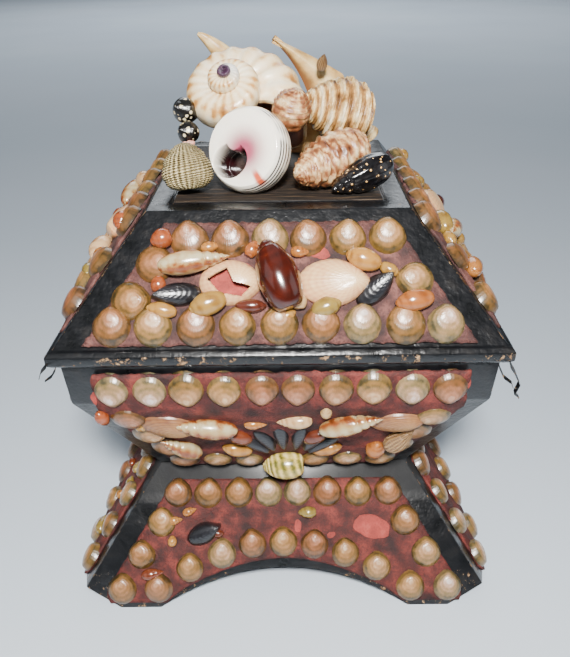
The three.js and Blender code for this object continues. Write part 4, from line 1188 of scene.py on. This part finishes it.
def makeMoonShell():
    bm = bmesh.new()
    column, along = growthLayers(bm)
    blush, stripesAndShade, streak = paintLayers(bm, "blush", "stripesAndShade", "streak")
    edges, verts = startRing(bm, column, moon["columns"])
    firstRadius, firstHeight = moon["profile"][0]
    for vert in verts:
        vert.co = (vert.co.x * firstRadius * mm, vert.co.y * firstRadius * mm, firstHeight * mm)
    for radius, height, shown in moonRings():
        edges, verts = extrudeRing(bm, edges)
        for vert in verts:
            lap = vert[column] / moon["columns"]
            x, y = radius * cos(lap * 2 * pi), radius * sin(lap * 2 * pi)
            vert[along] = shown * 0.5
            sunk = 0.0
            if shown > 1:
                across = moonReach(x, y, "gap", moon["gapSize"])
                pillar = moonReach(x, y, "pillar") / moon["pillarRound"]
                sunk = smooth(*moon["gapEdge"], across) * smooth(*moon["pillarEdge"], pillar)
                vert[blush] = 0.95 * smooth(*moon["blushEdge"], moonReach(x, y, "blush"))
                # painted shade: the pressed-in gap is darkened as if shade filled it
                vert[stripesAndShade] = smooth(*moon["gapShadeEdge"], sunk)
            else:
                line = min(abs(shown - place) for place in moon["stripes"])
                aside = 0.5 + 0.5 * noise.noise(Vector((x, y, 9 * shown)) / 6)
                vert[stripesAndShade] = smooth(*moon["stripeEdge"], line) * smooth(*moon["stripeGaps"], aside)
            turned = (lap * 360 - moon["streakAngle"] + 180) % 360 - 180
            vert[streak] = smooth(*moon["streakWidth"], abs(turned)) * smooth(*moon["streakRadius"], radius)
            vert[streak] *= smooth(*moon["streakShare"], shown)
            vert.co = (x * mm, y * mm, (height - moon["depth"] * sunk) * mm)
    bmesh.ops.pointmerge(bm, verts=verts, merge_co=(0, 0, moon["crown"] * mm))
    unwrapGrowth(bm, moon["columns"])
    outward(bm)
    matrix = aimed(onFlat(moon["place"]), moon["axis"])
    finishPiece("top_moon_shell_mouth", bm, moonPorcelain, ["top_moon_shell"], 80, matrix)


makeMoonShell()

# A tapering horn: a ring carried up a bent line
horn = {
    "foot": (-10, 40, 0), "bend": (-16, 41, 42), "tip": (-37.6, 37, 54.6),
    "footRadius": 10, "tipRadius": 0.8, "steps": 34, "columns": 28, "flat": 0.72,
}


def makeHorn():
    bm = bmesh.new()
    column, along = growthLayers(bm)
    foot, bend, tip = (onFlat(horn[name]) for name in ("foot", "bend", "tip"))
    edges, verts = startRing(bm, column, horn["columns"])
    for step in range(horn["steps"] + 1):
        share = step / horn["steps"]
        if step:
            edges, verts = extrudeRing(bm, edges)
        place = foot * (1 - share) ** 2 + bend * 2 * share * (1 - share) + tip * share ** 2
        heading = (bend - foot) * (1 - share) + (tip - bend) * share
        turn = Vector((0, 0, 1)).rotation_difference(heading).to_matrix()
        radius = (horn["footRadius"] * (1 - share) ** 0.75 + horn["tipRadius"]) * mm
        for vert in verts:
            angle = vert[column] / horn["columns"] * 2 * pi
            uneven = 1 + 0.1 * noise.noise(Vector((cos(angle), sin(angle), share * 5)) * 1.3)
            vert.co = place + turn @ (Vector((cos(angle), sin(angle) * horn["flat"], 0)) * radius * uneven)
            vert[along] = share * 1.5
    bmesh.ops.contextual_create(bm, geom=edges)
    unwrapGrowth(bm, horn["columns"])
    outward(bm)
    finishPiece("top_horn_shell_chip", bm, chipShell, ["top_horn_shell"], 70)


makeHorn()

# The blade: a curved chip standing on edge, from its base at the flat to a point at the upper left. Each of
# its long edges is two curves, which meet halfway up
blade = {
    "back": 27, "tilt": -6, "turn": 8, "bulge": 5.5, "wall": 2.2, "columns": 30, "rows": 46,
    "inner": [[(4, 0), (12, 10), (15, 28)], [(15, 28), (9, 43), (-1.7, 51.9)]],
    "outer": [[(38, 0), (42, 22), (32, 36)], [(32, 36), (15, 46), (-0.7, 52.6)]],
}


def bladeEdge(curves, climb):
    half = int(climb >= 0.5)
    points, share = curves[half], climb * 2 - half
    while len(points) > 1:
        pairs = zip(points, points[1:])
        points = [tuple(a + (b - a) * share for a, b in zip(start, end)) for start, end in pairs]
    return points[0]


def makeBlade():
    bm = bmesh.new()
    column, along = growthLayers(bm)
    blush, = paintLayers(bm, "blush")
    bmesh.ops.create_grid(bm, x_segments=blade["columns"], y_segments=blade["rows"], size=1)
    lean = turnBy(blade["turn"]) @ turnBy(blade["tilt"], "X")
    for vert in bm.verts:
        across, climb = (vert.co.x + 1) / 2, (vert.co.y + 1) / 2
        ends = zip(bladeEdge(blade["inner"], climb), bladeEdge(blade["outer"], climb))
        x, z = (a + (b - a) * across for a, b in ends)
        bulge = blade["bulge"] * (1 - (2 * across - 1) ** 2) * (1 - 0.5 * climb)
        ridge = 0.5 * cos(across * 5 * pi) * (1 - climb)
        vert.co = lean @ Vector((x * mm, (2 - bulge + ridge) * mm, z * mm))
        vert[along] = climb
        vert[column] = round(across * blade["columns"])
        vert[blush] = smooth(0.3, 0.05, across)
    unwrapGrowth(bm, 4 * blade["columns"])
    outward(bm)
    thicken(bm, blade["wall"] * mm)
    bmesh.ops.translate(bm, verts=bm.verts, vec=(0, blade["back"] * mm, flatZ + 0.4 * mm))
    finishPiece("top_blade_shell_chip", bm, chipShell, ["top_blade_shell"])


makeBlade()

# The flat valve at the right edge, and the pink lump between the nerites and the basket shell
flatValve = {"place": (41.5, 33, 4.7), "tilt": -28, "spin": 0.5, "size": 20 * mm, "rise": 4.2 * mm}
size = flatValve["size"]
bm = valveShell({**shellKinds["fan"], "length": size, "width": size, "rise": flatValve["rise"]})
tilt = turnBy(flatValve["tilt"], "Y") @ Matrix.Rotation(flatValve["spin"], 4, "Z")
matrix = Matrix.Translation(onFlat(flatValve["place"])) @ tilt
finishPiece("top_flat_valve_shell", bm, (chipShell[0], "tan_shell"), ["top_flat_valve"], 180, matrix)

clump = {"place": (-38.5, -17, 13.5), "grains": 26, "reach": 4.6, "grain": (1.1, 2.1)}
bm = bmesh.new()
for grain in range(clump["grains"]):
    aside = Vector([dice.gauss(0, 1) for axis in range(3)]).normalized()
    aside *= clump["reach"] * dice.random() ** 0.5
    place = onFlat([base + step for base, step in zip(clump["place"], aside)])
    size = dice.uniform(*clump["grain"]) * mm
    turn = Matrix.Rotation(dice.uniform(0, 3), 4, (0.3, 0.5, 0.8))
    stretch = Matrix.Diagonal((size, size * 0.8, size * 1.15, 1))
    matrix = Matrix.Translation(place) @ turn @ stretch
    bmesh.ops.create_icosphere(bm, subdivisions=2, radius=1, matrix=matrix)
finishPiece("top_crystal_clump_grains", bm, coralSand, ["top_crystal_clump"], 30)
print("cluster laid")

# Camera as the photograph's
camera = {
    "place": (3.47 * mm, -297.27 * mm, 268.4 * mm), "down": 30.46, "yaw": 0.344, "roll": -0.871, "lens": 35.6,
}
lensData = bpy.data.cameras.new("camera")
lensData.lens = camera["lens"]
lensData.sensor_width = 36
lensData.clip_start = 0.01
view = addObject("camera", lensData)
aim = turnBy(camera["yaw"]) @ turnBy(90 - camera["down"], "X") @ turnBy(camera["roll"])
view.matrix_world = Matrix.Translation(camera["place"]) @ aim
bpy.context.scene.camera = view

# Pale cloth under the box, 16 m wide, so that it ends past the picture
cloth = {"half": 8, "cloud": 0.5}
bm = bmesh.new()
bmesh.ops.create_grid(bm, x_segments=1, y_segments=1, size=cloth["half"])
floorMesh = bpy.data.meshes.new("floor")
bm.to_mesh(floorMesh)
bm.free()
material, tree, place = startMaterial("paleCloth")
cloud = noiseOf(tree, place, cloth["cloud"], 2.0)
floorColour = rampOf(tree, cloud, [(0.3, "#b9c4cf"), (0.7, "#c2ccd6")])
endMaterial(tree, {"Roughness": 0.9}, floorColour, cloud, 0.1 * mm)
floorMesh.materials.append(material)
addObject("floor", floorMesh)

# Soft light, and one lamp that lights the far cloth alone
lamps = {
    "flash": {"place": (0.01, -0.4, 0.46), "size": 0.07, "power": 8.4, "colour": (1.0, 0.98, 0.95)},
    "fillLeft": {"place": (-0.8, -0.5, 0.6), "size": 0.7, "power": 1.1, "colour": (0.92, 0.96, 1.0)},
    "above": {"place": (0.0, 0.1, 1.1), "size": 0.9, "power": 0.6, "colour": (0.9, 0.95, 1.0)},
    "fillRight": {"place": (0.9, -0.3, 0.5), "size": 0.6, "power": 1, "colour": (0.95, 0.97, 1.0)},
    "farCloth": {
        "place": (0, 3.0, 1.8), "aim": (0, 2.7, 0), "size": 2.4, "power": 70, "colour": (0.9, 0.95, 1.0),
    },
}
for name, lamp in lamps.items():
    data = bpy.data.lights.new(name, "AREA")
    data.size = lamp["size"]
    data.energy = lamp["power"]
    data.color = lamp["colour"]
    aim = Vector(lamp.get("aim", (0, 0, 0.1))) - Vector(lamp["place"])
    turn = aim.to_track_quat("-Z", "Y").to_matrix().to_4x4()
    addObject(name, data).matrix_world = Matrix.Translation(lamp["place"]) @ turn
world = bpy.data.worlds.new("room")
world.use_nodes = True
world.node_tree.nodes["Background"].inputs[0].default_value = linear("#d8e0e8")
world.node_tree.nodes["Background"].inputs[1].default_value = 0.12
bpy.context.scene.world = world
print("camera, floor and lamps set")
